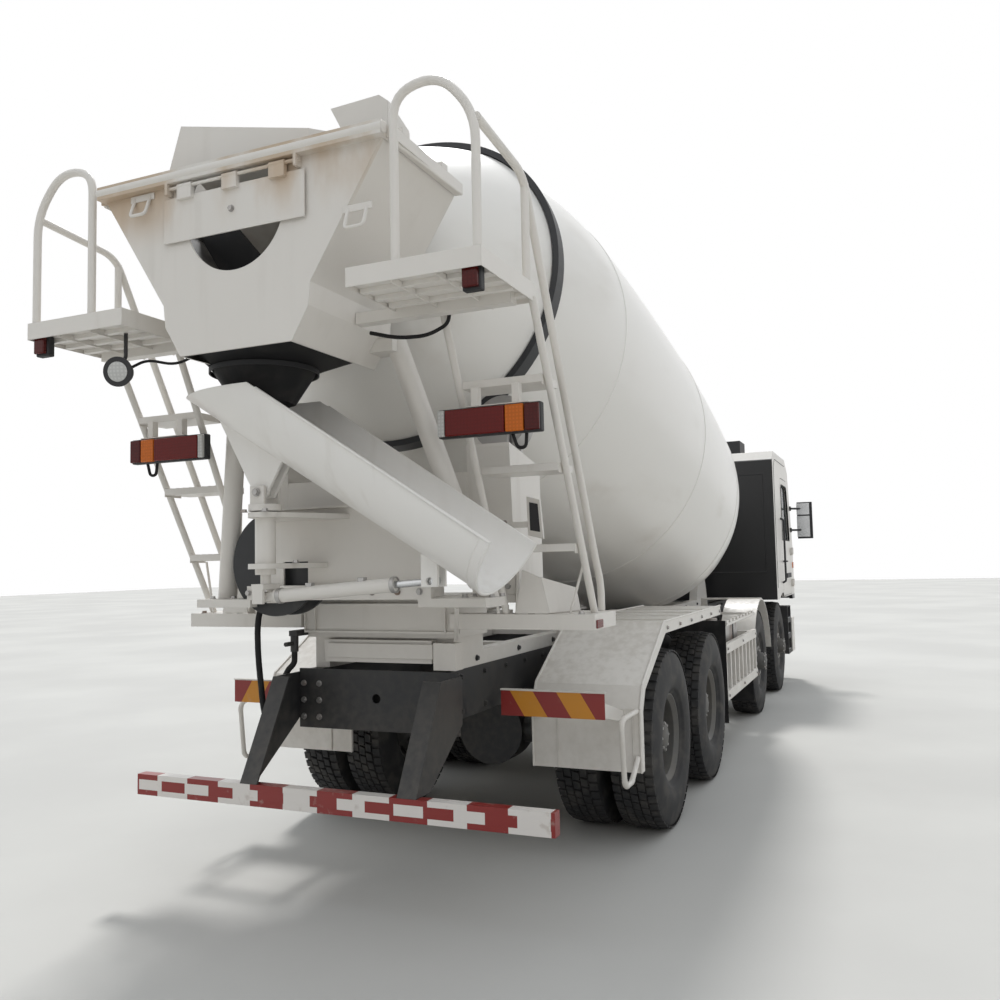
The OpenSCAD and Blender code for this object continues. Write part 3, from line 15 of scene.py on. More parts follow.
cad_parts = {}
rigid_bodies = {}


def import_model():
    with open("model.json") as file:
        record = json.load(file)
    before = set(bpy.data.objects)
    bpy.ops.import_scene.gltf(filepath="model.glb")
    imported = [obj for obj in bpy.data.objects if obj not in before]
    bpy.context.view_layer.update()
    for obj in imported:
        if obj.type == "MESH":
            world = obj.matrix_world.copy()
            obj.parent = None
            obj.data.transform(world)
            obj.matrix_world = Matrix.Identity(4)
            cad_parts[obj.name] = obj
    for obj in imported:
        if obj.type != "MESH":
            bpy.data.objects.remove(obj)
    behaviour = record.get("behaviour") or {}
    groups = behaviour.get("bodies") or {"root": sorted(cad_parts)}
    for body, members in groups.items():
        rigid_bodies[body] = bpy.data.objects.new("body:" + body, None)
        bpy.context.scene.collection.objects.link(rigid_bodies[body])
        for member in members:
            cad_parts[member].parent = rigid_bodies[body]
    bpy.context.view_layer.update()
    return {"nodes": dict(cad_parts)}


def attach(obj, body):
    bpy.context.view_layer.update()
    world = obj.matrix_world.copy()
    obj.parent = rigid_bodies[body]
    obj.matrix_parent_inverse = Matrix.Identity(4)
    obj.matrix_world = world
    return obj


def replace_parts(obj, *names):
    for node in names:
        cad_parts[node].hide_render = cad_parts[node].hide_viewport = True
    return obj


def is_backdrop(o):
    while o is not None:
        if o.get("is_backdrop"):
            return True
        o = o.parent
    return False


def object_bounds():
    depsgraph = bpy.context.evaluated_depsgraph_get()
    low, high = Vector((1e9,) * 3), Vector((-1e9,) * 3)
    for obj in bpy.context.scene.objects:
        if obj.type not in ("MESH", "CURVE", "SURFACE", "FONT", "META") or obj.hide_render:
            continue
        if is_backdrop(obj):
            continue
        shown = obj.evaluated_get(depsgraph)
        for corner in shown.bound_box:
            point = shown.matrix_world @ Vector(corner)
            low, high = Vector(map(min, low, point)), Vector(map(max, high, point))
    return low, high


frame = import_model()
nodes = frame["nodes"]

# %% [markdown]
# ## Camera
# The photograph was taken from behind the truck's right rear corner, about 1.7 m above the ground,
# with a moderately wide lens. The numbers come from fitting the wheels, the drum and the platforms.

# %% Camera
EYE = Vector((-8.3099, -2.5723, 1.6744))
YAW, PITCH, ROLL = 0.4100, 0.0696, -0.0218
ahead = Vector((cos(YAW) * cos(PITCH), sin(YAW) * cos(PITCH), sin(PITCH)))
level_right = Vector((sin(YAW), -cos(YAW), 0))
level_up = level_right.cross(ahead)
right = level_right * cos(ROLL) + level_up * sin(ROLL)
up = level_up * cos(ROLL) - level_right * sin(ROLL)
camera = bpy.data.objects.new("camera", bpy.data.cameras.new("camera"))
bpy.context.scene.collection.objects.link(camera)
camera.data.sensor_width = 36
camera.data.lens = 32.69
camera.data.clip_end = 300
camera.matrix_world = Matrix.Translation(EYE) @ Matrix((right, up, -ahead)).transposed().to_4x4()
bpy.context.scene.camera = camera
bpy.context.scene.view_settings.view_transform = "Standard"

# %% [markdown]
# ## Shader maths written as plain expressions
# A finish is a small graph of nodes. Wrapping a socket in a class lets the graph be written as arithmetic:
# `dust * 0.4 + 0.2` adds two Math nodes. One method adds every other kind of node.

# %% Wire and Finish
class Wire:
    """An output socket that takes part in arithmetic."""

    def __init__(self, finish, socket):
        self.finish, self.socket = finish, socket

    def calc(self, operation, a, b=0.0):
        return self.finish.node("ShaderNodeMath", {"operation": operation}, {0: a, 1: b})

    def __add__(self, other):
        return self.calc("ADD", self, other)

    def __sub__(self, other):
        return self.calc("SUBTRACT", self, other)

    def __rsub__(self, other):
        return self.calc("SUBTRACT", other, self)

    def __mul__(self, other):
        return self.calc("MULTIPLY", self, other)

    def __truediv__(self, other):
        return self.calc("DIVIDE", self, other)

    def __gt__(self, other):
        return self.calc("GREATER_THAN", self, other)

    def __lt__(self, other):
        return self.calc("LESS_THAN", self, other)

    def __abs__(self):
        return self.calc("ABSOLUTE", self)

    def fraction(self):
        return self.calc("FRACT", self)

    def larger(self, other):
        return self.calc("MAXIMUM", self, other)

    __radd__, __rmul__ = __add__, __mul__


class Finish:
    """A Principled material and the nodes that vary it over a surface."""

    def __init__(self, name, colour, rough, **fixed):
        self.material = bpy.data.materials.new(name)
        self.material.use_nodes = True
        self.tree = self.material.node_tree
        self.shader = self.tree.nodes["Principled BSDF"]
        self.shader.inputs["Base Color"].default_value = (*colour, 1)
        self.shader.inputs["Roughness"].default_value = rough
        for socket, value in fixed.items():
            self.shader.inputs[socket.replace("_", " ")].default_value = value

    def node(self, kind, settings=None, inputs=None, output=0):
        made = self.tree.nodes.new(kind)
        for key, value in (settings or {}).items():
            setattr(made, key, value)
        for key, value in (inputs or {}).items():
            if isinstance(value, Wire):
                self.tree.links.new(value.socket, made.inputs[key])
            else:
                made.inputs[key].default_value = value
        return Wire(self, made.outputs[output])

    def feed(self, **wires):
        for socket, wire in wires.items():
            self.tree.links.new(wire.socket, self.shader.inputs[socket.replace("_", " ")])

    def place(self):
        """Object coordinates as three wires."""
        where = self.node("ShaderNodeTexCoord", output="Object")
        split = self.tree.nodes.new("ShaderNodeSeparateXYZ")
        self.tree.links.new(where.socket, split.inputs[0])
        return tuple(Wire(self, s) for s in split.outputs)

    def facing_up(self):
        normal = self.node("ShaderNodeTexCoord", output="Normal")
        split = self.tree.nodes.new("ShaderNodeSeparateXYZ")
        self.tree.links.new(normal.socket, split.inputs[0])
        return Wire(self, split.outputs[2])

    def noise(self, scale, stretch=(1, 1, 1), detail=4.0, seed=0.0):
        where = self.node("ShaderNodeTexCoord", output="Object")
        turned = self.node("ShaderNodeMapping", inputs={"Vector": where, "Scale": stretch,
                                                        "Location": (seed, seed, 0)})
        return self.node("ShaderNodeTexNoise", inputs={"Vector": turned, "Scale": scale, "Detail": detail})

    def soft(self, wire, low, high):
        """0 below low, 1 above high, smooth between."""
        return self.node("ShaderNodeMapRange", {"interpolation_type": "SMOOTHSTEP"},
                         {"Value": wire, "From Min": low, "From Max": high})

    def mix(self, mask, a, b):
        made = self.tree.nodes.new("ShaderNodeMix")
        made.data_type = "RGBA"
        for index, value in ((0, mask), (6, a), (7, b)):
            if isinstance(value, Wire):
                self.tree.links.new(value.socket, made.inputs[index])
            else:
                made.inputs[index].default_value = value if index == 0 else (*value, 1)
        return Wire(self, made.outputs[2])

    def bumps(self, height, depth, strength=1.0, edge=0.0):
        inputs = {"Height": height, "Distance": depth, "Strength": strength}
        if edge:
            inputs["Normal"] = self.node("ShaderNodeBevel", {"samples": 4}, {"Radius": edge})
        self.feed(Normal=self.node("ShaderNodeBump", inputs=inputs))


# %% [markdown]
# ## Finishes
# Painted steel on a working mixer is never one colour: cement dust lies on what faces up, rain draws it
# down in streaks, and the lower parts are greyer than the upper ones. Each paint mixes these three masks
# in its own shares.

# %% Paints
def painted(name, colour, rough, dirt=(0.42, 0.38, 0.32), amount=0.5, streaks=0.3, low=1.2, coat=0.2,
            edge=0.004):
    """Paint with dust on top, streaks down the sides and more dirt near the ground."""
    f = Finish(name, colour, rough, Coat_Weight=coat, Coat_Roughness=0.25, Specular_IOR_Level=0.45)
    x, y, z = f.place()
    cloud = f.noise(1.7, detail=6)
    fine = f.noise(22, detail=5, seed=3)
    drips = f.soft(f.noise(9, (1, 1, 0.08), detail=3, seed=7), 0.52, 0.72) * f.soft(cloud, 0.35, 0.7)
    dust = f.soft(f.facing_up(), 0.4, 0.95) * f.soft(fine + cloud, 0.75, 1.25)
    height = f.soft(low - z, -0.5, low - 0.25) * f.soft(cloud + fine * 0.6, 0.55, 1.1)
    mask = (dust * amount).larger(drips * streaks).larger(height * amount)
    f.feed(Base_Color=f.mix(mask, colour, dirt), Roughness=mask * 0.4 + (fine - 0.5) * 0.12 + rough)
    f.bumps(f.noise(60, detail=3, seed=5), 0.0012, 0.25, edge)
    return f


WHITE = (0.72, 0.69, 0.645)
white_paint = painted("white_paint", WHITE, 0.42, amount=0.42, streaks=0.22)
chute_paint = painted("chute_paint", (0.82, 0.80, 0.765), 0.40, (0.50, 0.45, 0.38), 0.3, 0.2)
black_paint = painted("black_paint", (0.018, 0.019, 0.021), 0.5, (0.16, 0.145, 0.125), 0.6, 0.25, coat=0.05)
grey_paint = painted("grey_paint", (0.24, 0.25, 0.26), 0.5, amount=0.5)
print("paints", len(bpy.data.materials))


# %% Drum paint, with faint concrete run-off
def drum_finish():
    f = Finish("drum_paint", (0.80, 0.78, 0.74), 0.3, Coat_Weight=0.35, Coat_Roughness=0.18)
    cloud = f.noise(0.9, detail=5, seed=2)
    fine = f.noise(14, detail=6, seed=9)
    smear = f.soft(f.noise(3.2, (0.35, 1, 1), detail=5, seed=4), 0.5, 0.75)
    mask = smear * f.soft(cloud, 0.4, 0.7) * 0.45
    f.feed(Base_Color=f.mix(mask, (0.80, 0.78, 0.74), (0.56, 0.51, 0.45)),
           Roughness=mask * 0.5 + fine * 0.1 + 0.26)
    f.bumps(f.noise(2.4, detail=2, seed=1), 0.012, 0.25)
    return f


drum_paint = drum_finish()


# %% [markdown]
# ### Rubber, bare steel, glass and small parts
# Tyre rubber is charcoal with light dust in its grooves. Worn steel has streaks of rust. Glass is a
# smooth thin sheet, and lamp lenses are coloured plastic with moulded ribs.

# %% Rubber and metals
def rubbery(name, colour, dust, share, scale=9):
    f = Finish(name, colour, 0.75, Specular_IOR_Level=0.3)
    cloud = f.noise(scale, detail=6, seed=6)
    mask = f.soft(cloud, 0.42, 0.72) * share
    f.feed(Base_Color=f.mix(mask, colour, dust), Roughness=mask * 0.2 + 0.68)
    f.bumps(f.noise(90, detail=4), 0.001, 0.5)
    return f


tyre_rubber = rubbery("tyre_rubber", (0.028, 0.028, 0.029), (0.17, 0.155, 0.135), 0.28)
soft_rubber = rubbery("soft_rubber", (0.008, 0.008, 0.009), (0.06, 0.055, 0.05), 0.25)


def metal(name, colour, rough, rust=0.3):
    f = Finish(name, colour, rough, Metallic=0.85)
    cloud = f.noise(5, detail=7, seed=8)
    mask = f.soft(cloud, 0.5, 0.7) * rust
    f.feed(Base_Color=f.mix(mask, colour, (0.20, 0.10, 0.05)),
           Roughness=mask * 0.4 + cloud * 0.2 + rough - 0.1,
           Metallic=0.85 - mask * 0.6)
    f.bumps(f.noise(40, detail=4), 0.001, 0.35, 0.002)
    return f


worn_steel = metal("worn_steel", (0.42, 0.41, 0.40), 0.42, 0.6)
bright_steel = metal("bright_steel", (0.66, 0.67, 0.68), 0.22, 0.05)
rim_paint = painted("rim_paint", (0.085, 0.085, 0.082), 0.5, (0.19, 0.17, 0.14), 0.5, 0.3, low=1.6,
                    coat=0.05)
trim = painted("trim_plastic", (0.022, 0.022, 0.024), 0.6, (0.15, 0.14, 0.125), 0.45, 0.15, coat=0.0,
               edge=0.003)


# %% Glass, lamp lenses and cloth
def clear(name, colour, rough, alpha, **fixed):
    f = Finish(name, colour, rough, IOR=1.45, **fixed)
    smudge = f.noise(6, detail=5)
    f.feed(Roughness=smudge * 0.08 + rough, Alpha=smudge * 0.06 + (alpha - 0.03))
    f.material.surface_render_method = "BLENDED"
    return f


window_glass = clear("window_glass", (0.05, 0.065, 0.07), 0.04, 0.62)


def lens(name, colour):
    """Coloured lens plastic with a grid of small moulded pillows."""
    f = Finish(name, colour, 0.3, Coat_Weight=0.08, Coat_Roughness=0.2, Specular_IOR_Level=0.2)
    x, y, z = f.place()
    pillows = abs((y * 60).fraction() - 0.5).larger(abs((z * 60).fraction() - 0.5))
    f.feed(Base_Color=f.mix(pillows * 0.8, colour, tuple(c * 0.45 for c in colour)),
           Roughness=pillows * 0.15 + 0.1)
    f.bumps(pillows, 0.002, 0.6)
    return f


red_lens = lens("red_lens", (0.15, 0.006, 0.004))
amber_lens = lens("amber_lens", (0.66, 0.16, 0.015))
clear_lens = lens("clear_lens", (0.62, 0.62, 0.60))


def cloth(name, colour):
    f = Finish(name, colour, 0.9, Sheen_Weight=0.3)
    x, y, z = f.place()
    weave = abs((x * 180).fraction() - 0.5) * abs((z * 180).fraction() - 0.5) * 4
    f.feed(Base_Color=f.mix(weave, colour, tuple(c * 0.6 for c in colour)), Roughness=weave * 0.08 + 0.85)
    f.bumps(weave, 0.001, 0.5)
    return f


seat_cloth = cloth("seat_cloth", (0.05, 0.052, 0.06))


# %% [markdown]
# ### Warning bands
# The underrun bar is painted in red and white bands 200 mm wide, and a 50 mm reflective tape with its own
# bands of 155 mm runs along its middle. Both follow the y coordinate, so two fractions give the whole
# pattern.

# %% Bands of the underrun bar and stripes of the boards
RED, OFF_WHITE, YELLOW = (0.24, 0.018, 0.015), (0.74, 0.70, 0.66), (0.58, 0.235, 0.013)
BAR_Z = 0.549


def bands():
    f = Finish("bar_bands", OFF_WHITE, 0.45, Coat_Weight=0.1, Coat_Roughness=0.3)
    x, y, z = f.place()
    wide = ((y - 0.04) / 0.4 + 10).fraction() > 0.5
    fine = ((y - 0.082) / 0.31 + 10).fraction() > 0.5
    tape = abs(z - BAR_Z) < 0.026
    red = tape * fine + (1 - tape) * wide
    worn = f.soft(f.noise(16, detail=6), 0.6, 0.75) * 0.5
    shade = f.mix(red, OFF_WHITE, RED)
    f.feed(Base_Color=f.mix(worn, shade, (0.45, 0.38, 0.33)), Roughness=worn * 0.4 + 0.3)
    f.bumps(tape, 0.0015, 0.6, 0.003)
    return f


BOARD_X = -3.8165


def stripes():
    f = Finish("board_stripes", RED, 0.45, Coat_Weight=0.1, Coat_Roughness=0.3)
    x, y, z = f.place()
    slanted = ((abs(y) * -1 - z * 0.62) / 0.262 + 10.35).fraction() > 0.5
    worn = f.soft(f.noise(12, detail=6), 0.6, 0.8) * 0.35
    sheet_side = x < BOARD_X + 0.0035
    colour = f.mix(sheet_side, WHITE, f.mix(slanted, YELLOW, RED))
    f.feed(Base_Color=f.mix(worn, colour, (0.40, 0.33, 0.27)), Roughness=worn * 0.4 + 0.4)
    f.bumps(f.noise(50), 0.001, 0.2, 0.002)
    return f


bar_bands, board_stripes = bands(), stripes()
print("finishes", len(bpy.data.materials))

# %% [markdown]
# ## Dressing the CAD nodes
# A node whose shape is right keeps it and gets a better finish. The table lists which finish each node
# takes.

# %% Finish of each node
FINISHES = {
    black_paint: ["chassis_frame", "underrun_legs", "axles", "drive_shafts", "battery_box", "drum_ring",
                  "hose_reel", "knuckle_1_left", "knuckle_1_right", "knuckle_2_left", "knuckle_2_right"],
    white_paint: ["bumper", "mid_fenders", "rear_fenders", "side_guards", "subframe", "rear_pedestal",
                  "platforms", "ladders", "chute_swivel", "chute_cylinder", "door_left", "door_right"],
    chute_paint: ["chute"],
    grey_paint: ["engine", "drum_drive"],
    worn_steel: ["drum_rollers", "drum_blades", "fuel_tank"],
    bright_steel: ["chute_rod"],
    soft_rubber: ["collector", "water_hose"],
    trim: ["cab_steps", "cab_trim"],
    seat_cloth: ["cab_interior"],
    window_glass: ["cab_glass"],
    bar_bands: ["underrun_bar"],
    board_stripes: ["chevron_boards"],
    red_lens: ["rear_lamps"],
    tyre_rubber: [n for n in nodes if n.startswith(("wheel_", "twin_wheel_"))],
    drum_paint: ["drum_shell"],
}


def coat(obj, finish):
    obj.data.materials.clear()
    obj.data.materials.append(finish.material)


for finish, names in FINISHES.items():
    for name in names:
        coat(nodes[name], finish)

# %% [markdown]
# The cab's rear wall is black while its sides are white, so the shell has a paint of its own that changes
# at the rear corner.

# %% Two-tone cab
CAB_BACK = 5.2725 - 0.1 - 1.98


def cab_finish():
    f = painted("cab_paint", WHITE, 0.35, amount=0.25, streaks=0.12, coat=0.12)
    x, y, z = f.place()
    rear = (x < CAB_BACK + 0.012).larger(z < 1.16)
    link = f.shader.inputs["Base Color"].links[0]
    body = Wire(f, link.from_socket)
    f.feed(Base_Color=f.mix(rear, body, (0.005, 0.005, 0.006)))
    return f


cab_paint = cab_finish()
coat(nodes["cab_shell"], cab_paint)

# %% [markdown]
# The hood and the feed hopper are white outside; their inner faces are dark grey, partly dried concrete and
# partly painted shade. A face is an inner one where its normal points back to the middle of the funnel.

# %% Hood and hopper
HOOD_X = -5.2275
CHUTE_X, CHUTE_Y = -4.8275, 0.15


def funnel_finish():
    f = painted("funnel_paint", WHITE, 0.42, amount=0.35, streaks=0.3)
    x, y, z = f.place()
    normal = f.node("ShaderNodeTexCoord", output="Normal")
    split = f.tree.nodes.new("ShaderNodeSeparateXYZ")
    f.tree.links.new(normal.socket, split.inputs[0])
    nx, ny, nz = (Wire(f, s) for s in split.outputs)
    inner = ((nx > 0.5) + (ny * y < -0.02) + (nz > 0.2) * (z < 3.40)).larger(0) > 0.5
    deep = inner * (x > HOOD_X + 0.012) * (z < 3.47)
    body = Wire(f, f.shader.inputs["Base Color"].links[0].from_socket)
    # Dark grey to near black: dried concrete, made darker as painted shade for the deep inside of the
    # funnel.
    cake_and_shade = f.mix(f.soft(f.noise(7, detail=6, seed=5), 0.35, 0.7), (0.022, 0.02, 0.018), (0.075, 0.068, 0.06))
    stain = f.soft(f.noise(3, (1, 1, 0.4), detail=5, seed=11), 0.38, 0.6) * f.soft(z, 3.10,
        3.36) * (x < HOOD_X + 0.02)
    stained = f.mix(stain * 0.7, body, (0.46, 0.31, 0.17))
    f.feed(Base_Color=f.mix(deep, stained, cake_and_shade))
    return f


funnel_paint = funnel_finish()
for name in ("discharge_hood", "feed_hopper", "hopper_flap"):
    coat(nodes[name], funnel_paint)

# %% [markdown]
# ## Making meshes
# Small helpers turn points into meshes: a revolved outline, a tube along a path and a rounded block. Each
# made object stays at the origin with its place in its mesh, as the CAD nodes do.

# %% Mesh helpers
ON_AXIS = 0.0001


def make(name, verts, faces, finish, smooth=40):
    mesh = bpy.data.meshes.new(name)
    mesh.from_pydata([tuple(v) for v in verts], [], faces)
    obj = bpy.data.objects.new(name, mesh)
    bpy.context.scene.collection.objects.link(obj)
    tidy(obj)
    coat(obj, finish)
    if smooth:
        mesh.shade_smooth()
        mesh.set_sharp_from_angle(angle=radians(smooth))
    return obj


def tidy(obj):
    """Merges doubles and turns every face outwards."""
    b = bmesh.new()
    b.from_mesh(obj.data)
    bmesh.ops.remove_doubles(b, verts=b.verts, dist=1e-5)
    bmesh.ops.recalc_face_normals(b, faces=b.faces)
    b.to_mesh(obj.data)
    b.free()


class Shape:
    """Collects primitives, then becomes one object."""

    def __init__(self):
        self.verts, self.faces = [], []

    def add(self, verts, faces, matrix=None):
        start = len(self.verts)
        self.verts += [matrix @ Vector(v) if matrix else Vector(v) for v in verts]
        self.faces += [[i + start for i in f] for f in faces]
        return self

    def revolve(self, outline, steps, matrix, closed=True):
        """Outline of (radius, distance along z), turned about z."""
        n = len(outline)
        verts = [(r * cos(a), r * sin(a), h) for k in range(steps) for a in [2 * pi * k / steps] for r,
                 h in outline]
        last = n if closed else n - 1
        faces = [[k * n + i, ((k + 1) % steps) * n + i, ((k + 1) % steps) * n + (i + 1) % n,
                  k * n + (i + 1) % n]
                 for k in range(steps) for i in range(last)]
        return self.add(verts, faces, matrix)

    def tube(self, path, radius, sides=12, closed=False):
        path = [Vector(p) for p in path]
        n = len(path)
        start = len(self.verts)
        normal = None
        for i, p in enumerate(path):
            a = path[(i - 1) % n] if closed or i else path[0]
            b = path[(i + 1) % n] if closed or i < n - 1 else path[-1]
            along = (b - a).normalized()
            if normal is None:
                normal = along.orthogonal().normalized()
            normal = (normal - along * normal.dot(along)).normalized()
            side = along.cross(normal)
            r = radius[i] if isinstance(radius, (list, tuple)) else radius
            for k in range(sides):
                t = 2 * pi * k / sides
                self.verts.append(p + r * (cos(t) * normal + sin(t) * side))
        for i in range(n if closed else n - 1):
            for k in range(sides):
                a, b = start + i * sides, start + (i + 1) % n * sides
                m = (k + 1) % sides
                self.faces.append([a + k, a + m, b + m, b + k])
        if not closed:
            self.faces.append([start + k for k in range(sides)][::-1])
            self.faces.append([start + (n - 1) * sides + k for k in range(sides)])
        return self

    def block(self, low, high, matrix=None):
        x0, y0, z0 = low
        x1, y1, z1 = high
        verts = [(x0, y0, z0), (x1, y0, z0), (x1, y1, z0), (x0, y1, z0),
                 (x0, y0, z1), (x1, y0, z1), (x1, y1, z1), (x0, y1, z1)]
        faces = [[0, 3, 2, 1], [4, 5, 6, 7], [0, 1, 5, 4], [1, 2, 6, 5], [2, 3, 7, 6], [3, 0, 4, 7]]
        return self.add(verts, faces, matrix)

    def plate(self, points, thickness):
        """A flat outline of 3-D points, given a thickness vector."""
        n = len(points)
        back = [Vector(p) + Vector(thickness) for p in points]
        faces = [list(range(n))[::-1], [n + i for i in range(n)]]
        faces += [[i, (i + 1) % n, n + (i + 1) % n, n + i] for i in range(n)]
        return self.add([Vector(p) for p in points] + back, faces)

    def both_sides(self):
        """Adds the mirror image on the other side of the truck."""
        start, count = len(self.verts), len(self.faces)
        self.verts += [Vector((v[0], -v[1], v[2])) for v in self.verts]
        self.faces += [[i + start for i in f][::-1] for f in self.faces[:count]]
        return self

    def done(self, name, finish, body, bevel=0.0, smooth=40, slot=None):
        obj = make(name, self.verts, self.faces, finish, smooth)
        if bevel:
            m = obj.modifiers.new("bevel", "BEVEL")
            m.width, m.segments, m.limit_method, m.angle_limit = bevel, 2, "ANGLE", radians(35)
        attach(obj, body)
        return obj


def round_path(points, bend, steps=6):
    """A route of straight runs with rounded corners."""
    points = [Vector(p) for p in points]
    out = [points[0]]
    for a, p, b in zip(points, points[1:], points[2:]):
        back, on = (a - p), (b - p)
        cut = min(bend, back.length * 0.49, on.length * 0.49)
        start, end = p + back.normalized() * cut, p + on.normalized() * cut
        out += [(1 - t) ** 2 * start + 2 * t * (1 - t) * p + t * t * end
                for t in [k / steps for k in range(steps + 1)]]
    return out + [points[-1]]


def axis_frame(place, along):
    """A matrix whose z points along the given direction."""
    return Matrix.Translation(place) @ Vector(along).to_track_quat("Z", "Y").to_matrix().to_4x4()


# %% [markdown]
# ## Repeats with Geometry Nodes
# Bolts, nuts and tread blocks are one shape at many places. The tree below sets a copy on each point of a
# mesh, turns it by the point's own angles, and makes the copies real. It is built once and reused.

# %% Tree that repeats a piece
def repeat_tree():
    tree = bpy.data.node_groups.new("repeat_on_points", "GeometryNodeTree")
    for label, kind in (("Geometry", "NodeSocketGeometry"), ("Piece", "NodeSocketObject"),
                        ("Size", "NodeSocketFloat"), ("Finish", "NodeSocketMaterial")):
        tree.interface.new_socket(label, in_out="INPUT", socket_type=kind)
    tree.interface.new_socket("Geometry", in_out="OUTPUT", socket_type="NodeSocketGeometry")
    add = tree.nodes.new
    start, end = add("NodeGroupInput"), add("NodeGroupOutput")
    info, turn = add("GeometryNodeObjectInfo"), add("GeometryNodeInputNamedAttribute")
    turn.data_type = "FLOAT_VECTOR"
    turn.inputs["Name"].default_value = "turn"
    copies, real = add("GeometryNodeInstanceOnPoints"), add("GeometryNodeRealizeInstances")
    paint = add("GeometryNodeSetMaterial")
    join = tree.links.new
    join(start.outputs["Geometry"], copies.inputs["Points"])
    join(start.outputs["Piece"], info.inputs["Object"])
    join(info.outputs["Geometry"], copies.inputs["Instance"])
    join(turn.outputs["Attribute"], copies.inputs["Rotation"])
    join(start.outputs["Size"], copies.inputs["Scale"])
    join(copies.outputs[0], real.inputs[0])
    join(real.outputs[0], paint.inputs["Geometry"])
    join(start.outputs["Finish"], paint.inputs["Material"])
    join(paint.outputs[0], end.inputs[0])
    return tree


REPEAT = repeat_tree()


def repeated(name, piece, places, finish, body, size=1.0):
    """Copies of piece at places, a list of (point, matrix or direction that its z points along)."""
    mesh = bpy.data.meshes.new(name + "_points")
    mesh.from_pydata([tuple(p) for p, _ in places], [], [])
    turns = mesh.attributes.new("turn", "FLOAT_VECTOR", "POINT")
    for i, (_, d) in enumerate(places):
        q = d if isinstance(d, Matrix) else Vector(d).to_track_quat("Z", "Y").to_matrix()
        turns.data[i].vector = q.to_euler("XYZ")
    holder = bpy.data.objects.new(name + "_points", mesh)
    bpy.context.scene.collection.objects.link(holder)
    modifier = holder.modifiers.new("repeat", "NODES")
    modifier.node_group = REPEAT
    ids = {s.name: s.identifier for s in REPEAT.interface.items_tree if s.in_out == "INPUT"}
    modifier[ids["Piece"]], modifier[ids["Size"]], modifier[ids["Finish"]] = piece, size, finish.material
    evaluated = holder.evaluated_get(bpy.context.evaluated_depsgraph_get())
    real = bpy.data.meshes.new_from_object(evaluated)
    bpy.data.objects.remove(holder)
    obj = bpy.data.objects.new(name, real)
    real.name = name
    bpy.context.scene.collection.objects.link(obj)
    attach(obj, body)
    return obj


def template(shape, finish=worn_steel, smooth=35):
    """A master shape that the repeats copy; the masters are removed at the end."""
    obj = make("master_" + str(len(bpy.data.objects)), shape.verts, shape.faces, finish, smooth)
    masters.append(obj)
    return obj


masters = []


def hexagon(width, height):
    """A bolt head with a washer, standing on z = 0."""
    s = Shape()
    s.revolve([(width * 0.72, 0), (width * 0.72, height * 0.22), (ON_AXIS, height * 0.22), (ON_AXIS, 0)], 14,
              Matrix())
    ring = [(width / 2 / cos(pi / 6) * cos(k * pi / 3), width / 2 / cos(pi / 6) * sin(k * pi / 3))
            for k in range(6)]
    s.add([(x, y, height * 0.2) for x, y in ring] + [(x * 0.93, y * 0.93, height) for x, y in ring],
          [[k, (k + 1) % 6, 6 + (k + 1) % 6, 6 + k] for k in range(6)] + [[6 + k for k in range(6)]])
    return s


bolt = template(hexagon(0.024, 0.014))
wheel_nut = template(hexagon(0.034, 0.034))
print("repeat tree", len(REPEAT.nodes), "nodes")

# %% [markdown]
# ## Water hose
# A black rubber hose, 32 mm thick, leaves the reel's underside, hangs in one long loop beside the beam
# and goes back up to the tap. The photograph shows all of it, so its length is the length of this route.

# %% Hose
AXLE_4 = -2.5275
HOSE = [(-1825, 520, 1510), (-1825, 560, 1440), (-1820, 578, 1360), (-1815, 582, 1280), (-1810, 582, 1200),
        (-1800, 582, 1120), (-1790, 580, 1040), (-1780, 578, 960), (-1765, 575, 890), (-1740, 572, 835),
        (-1705, 570, 815), (-1670, 568, 835), (-1650, 566, 890), (-1640, 563, 960), (-1632, 556, 1040),
        (-1625, 530, 1110), (-1620, 492, 1155), (-1620, 488, 1185), (-1620, 488, 1214.2)]
route = [Vector((AXLE_4 + x / 1000, y / 1000, z / 1000)) for x, y, z in HOSE]
line = bpy.data.curves.new("hose", "CURVE")
line.dimensions = "3D"
line.bevel_depth, line.bevel_resolution, line.resolution_u, line.use_fill_caps = 0.016, 5, 6, True
spline = line.splines.new("BEZIER")
spline.bezier_points.add(len(route) - 1)
for point, place in zip(spline.bezier_points, route):
    point.co = place
    point.handle_left_type = point.handle_right_type = "AUTO"
hose = bpy.data.objects.new("hose", line)
bpy.context.scene.collection.objects.link(hose)
coat(hose, soft_rubber)
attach(hose, "chassis")
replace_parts(hose, "water_hose")

# %% [markdown]
# ## Tyres and wheels
# A truck tyre has a rounded shoulder, a bulging sidewall and a bead that sits in the rim. The tread of
# the driven axles is made of blocks in five rows, so one pitch of five blocks is set round the tyre by
# the repeat tree.

# %% Tyre section and one pitch of tread
HUB_Z = 0.555
CARCASS = [(0.262, 0.094), (0.268, 0.104), (0.285, 0.116), (0.300, 0.124), (0.304, 0.132), (0.318, 0.136),
           (0.345, 0.1445), (0.380, 0.1485), (0.415, 0.1478), (0.450, 0.1430), (0.480, 0.1365),
           (0.505, 0.1310),
           (0.520, 0.1275), (0.5325, 0.1215), (0.5365, 0.1140)]
TREAD_TOP, TREAD_FLOOR, PITCHES = 0.555, 0.5385, 54


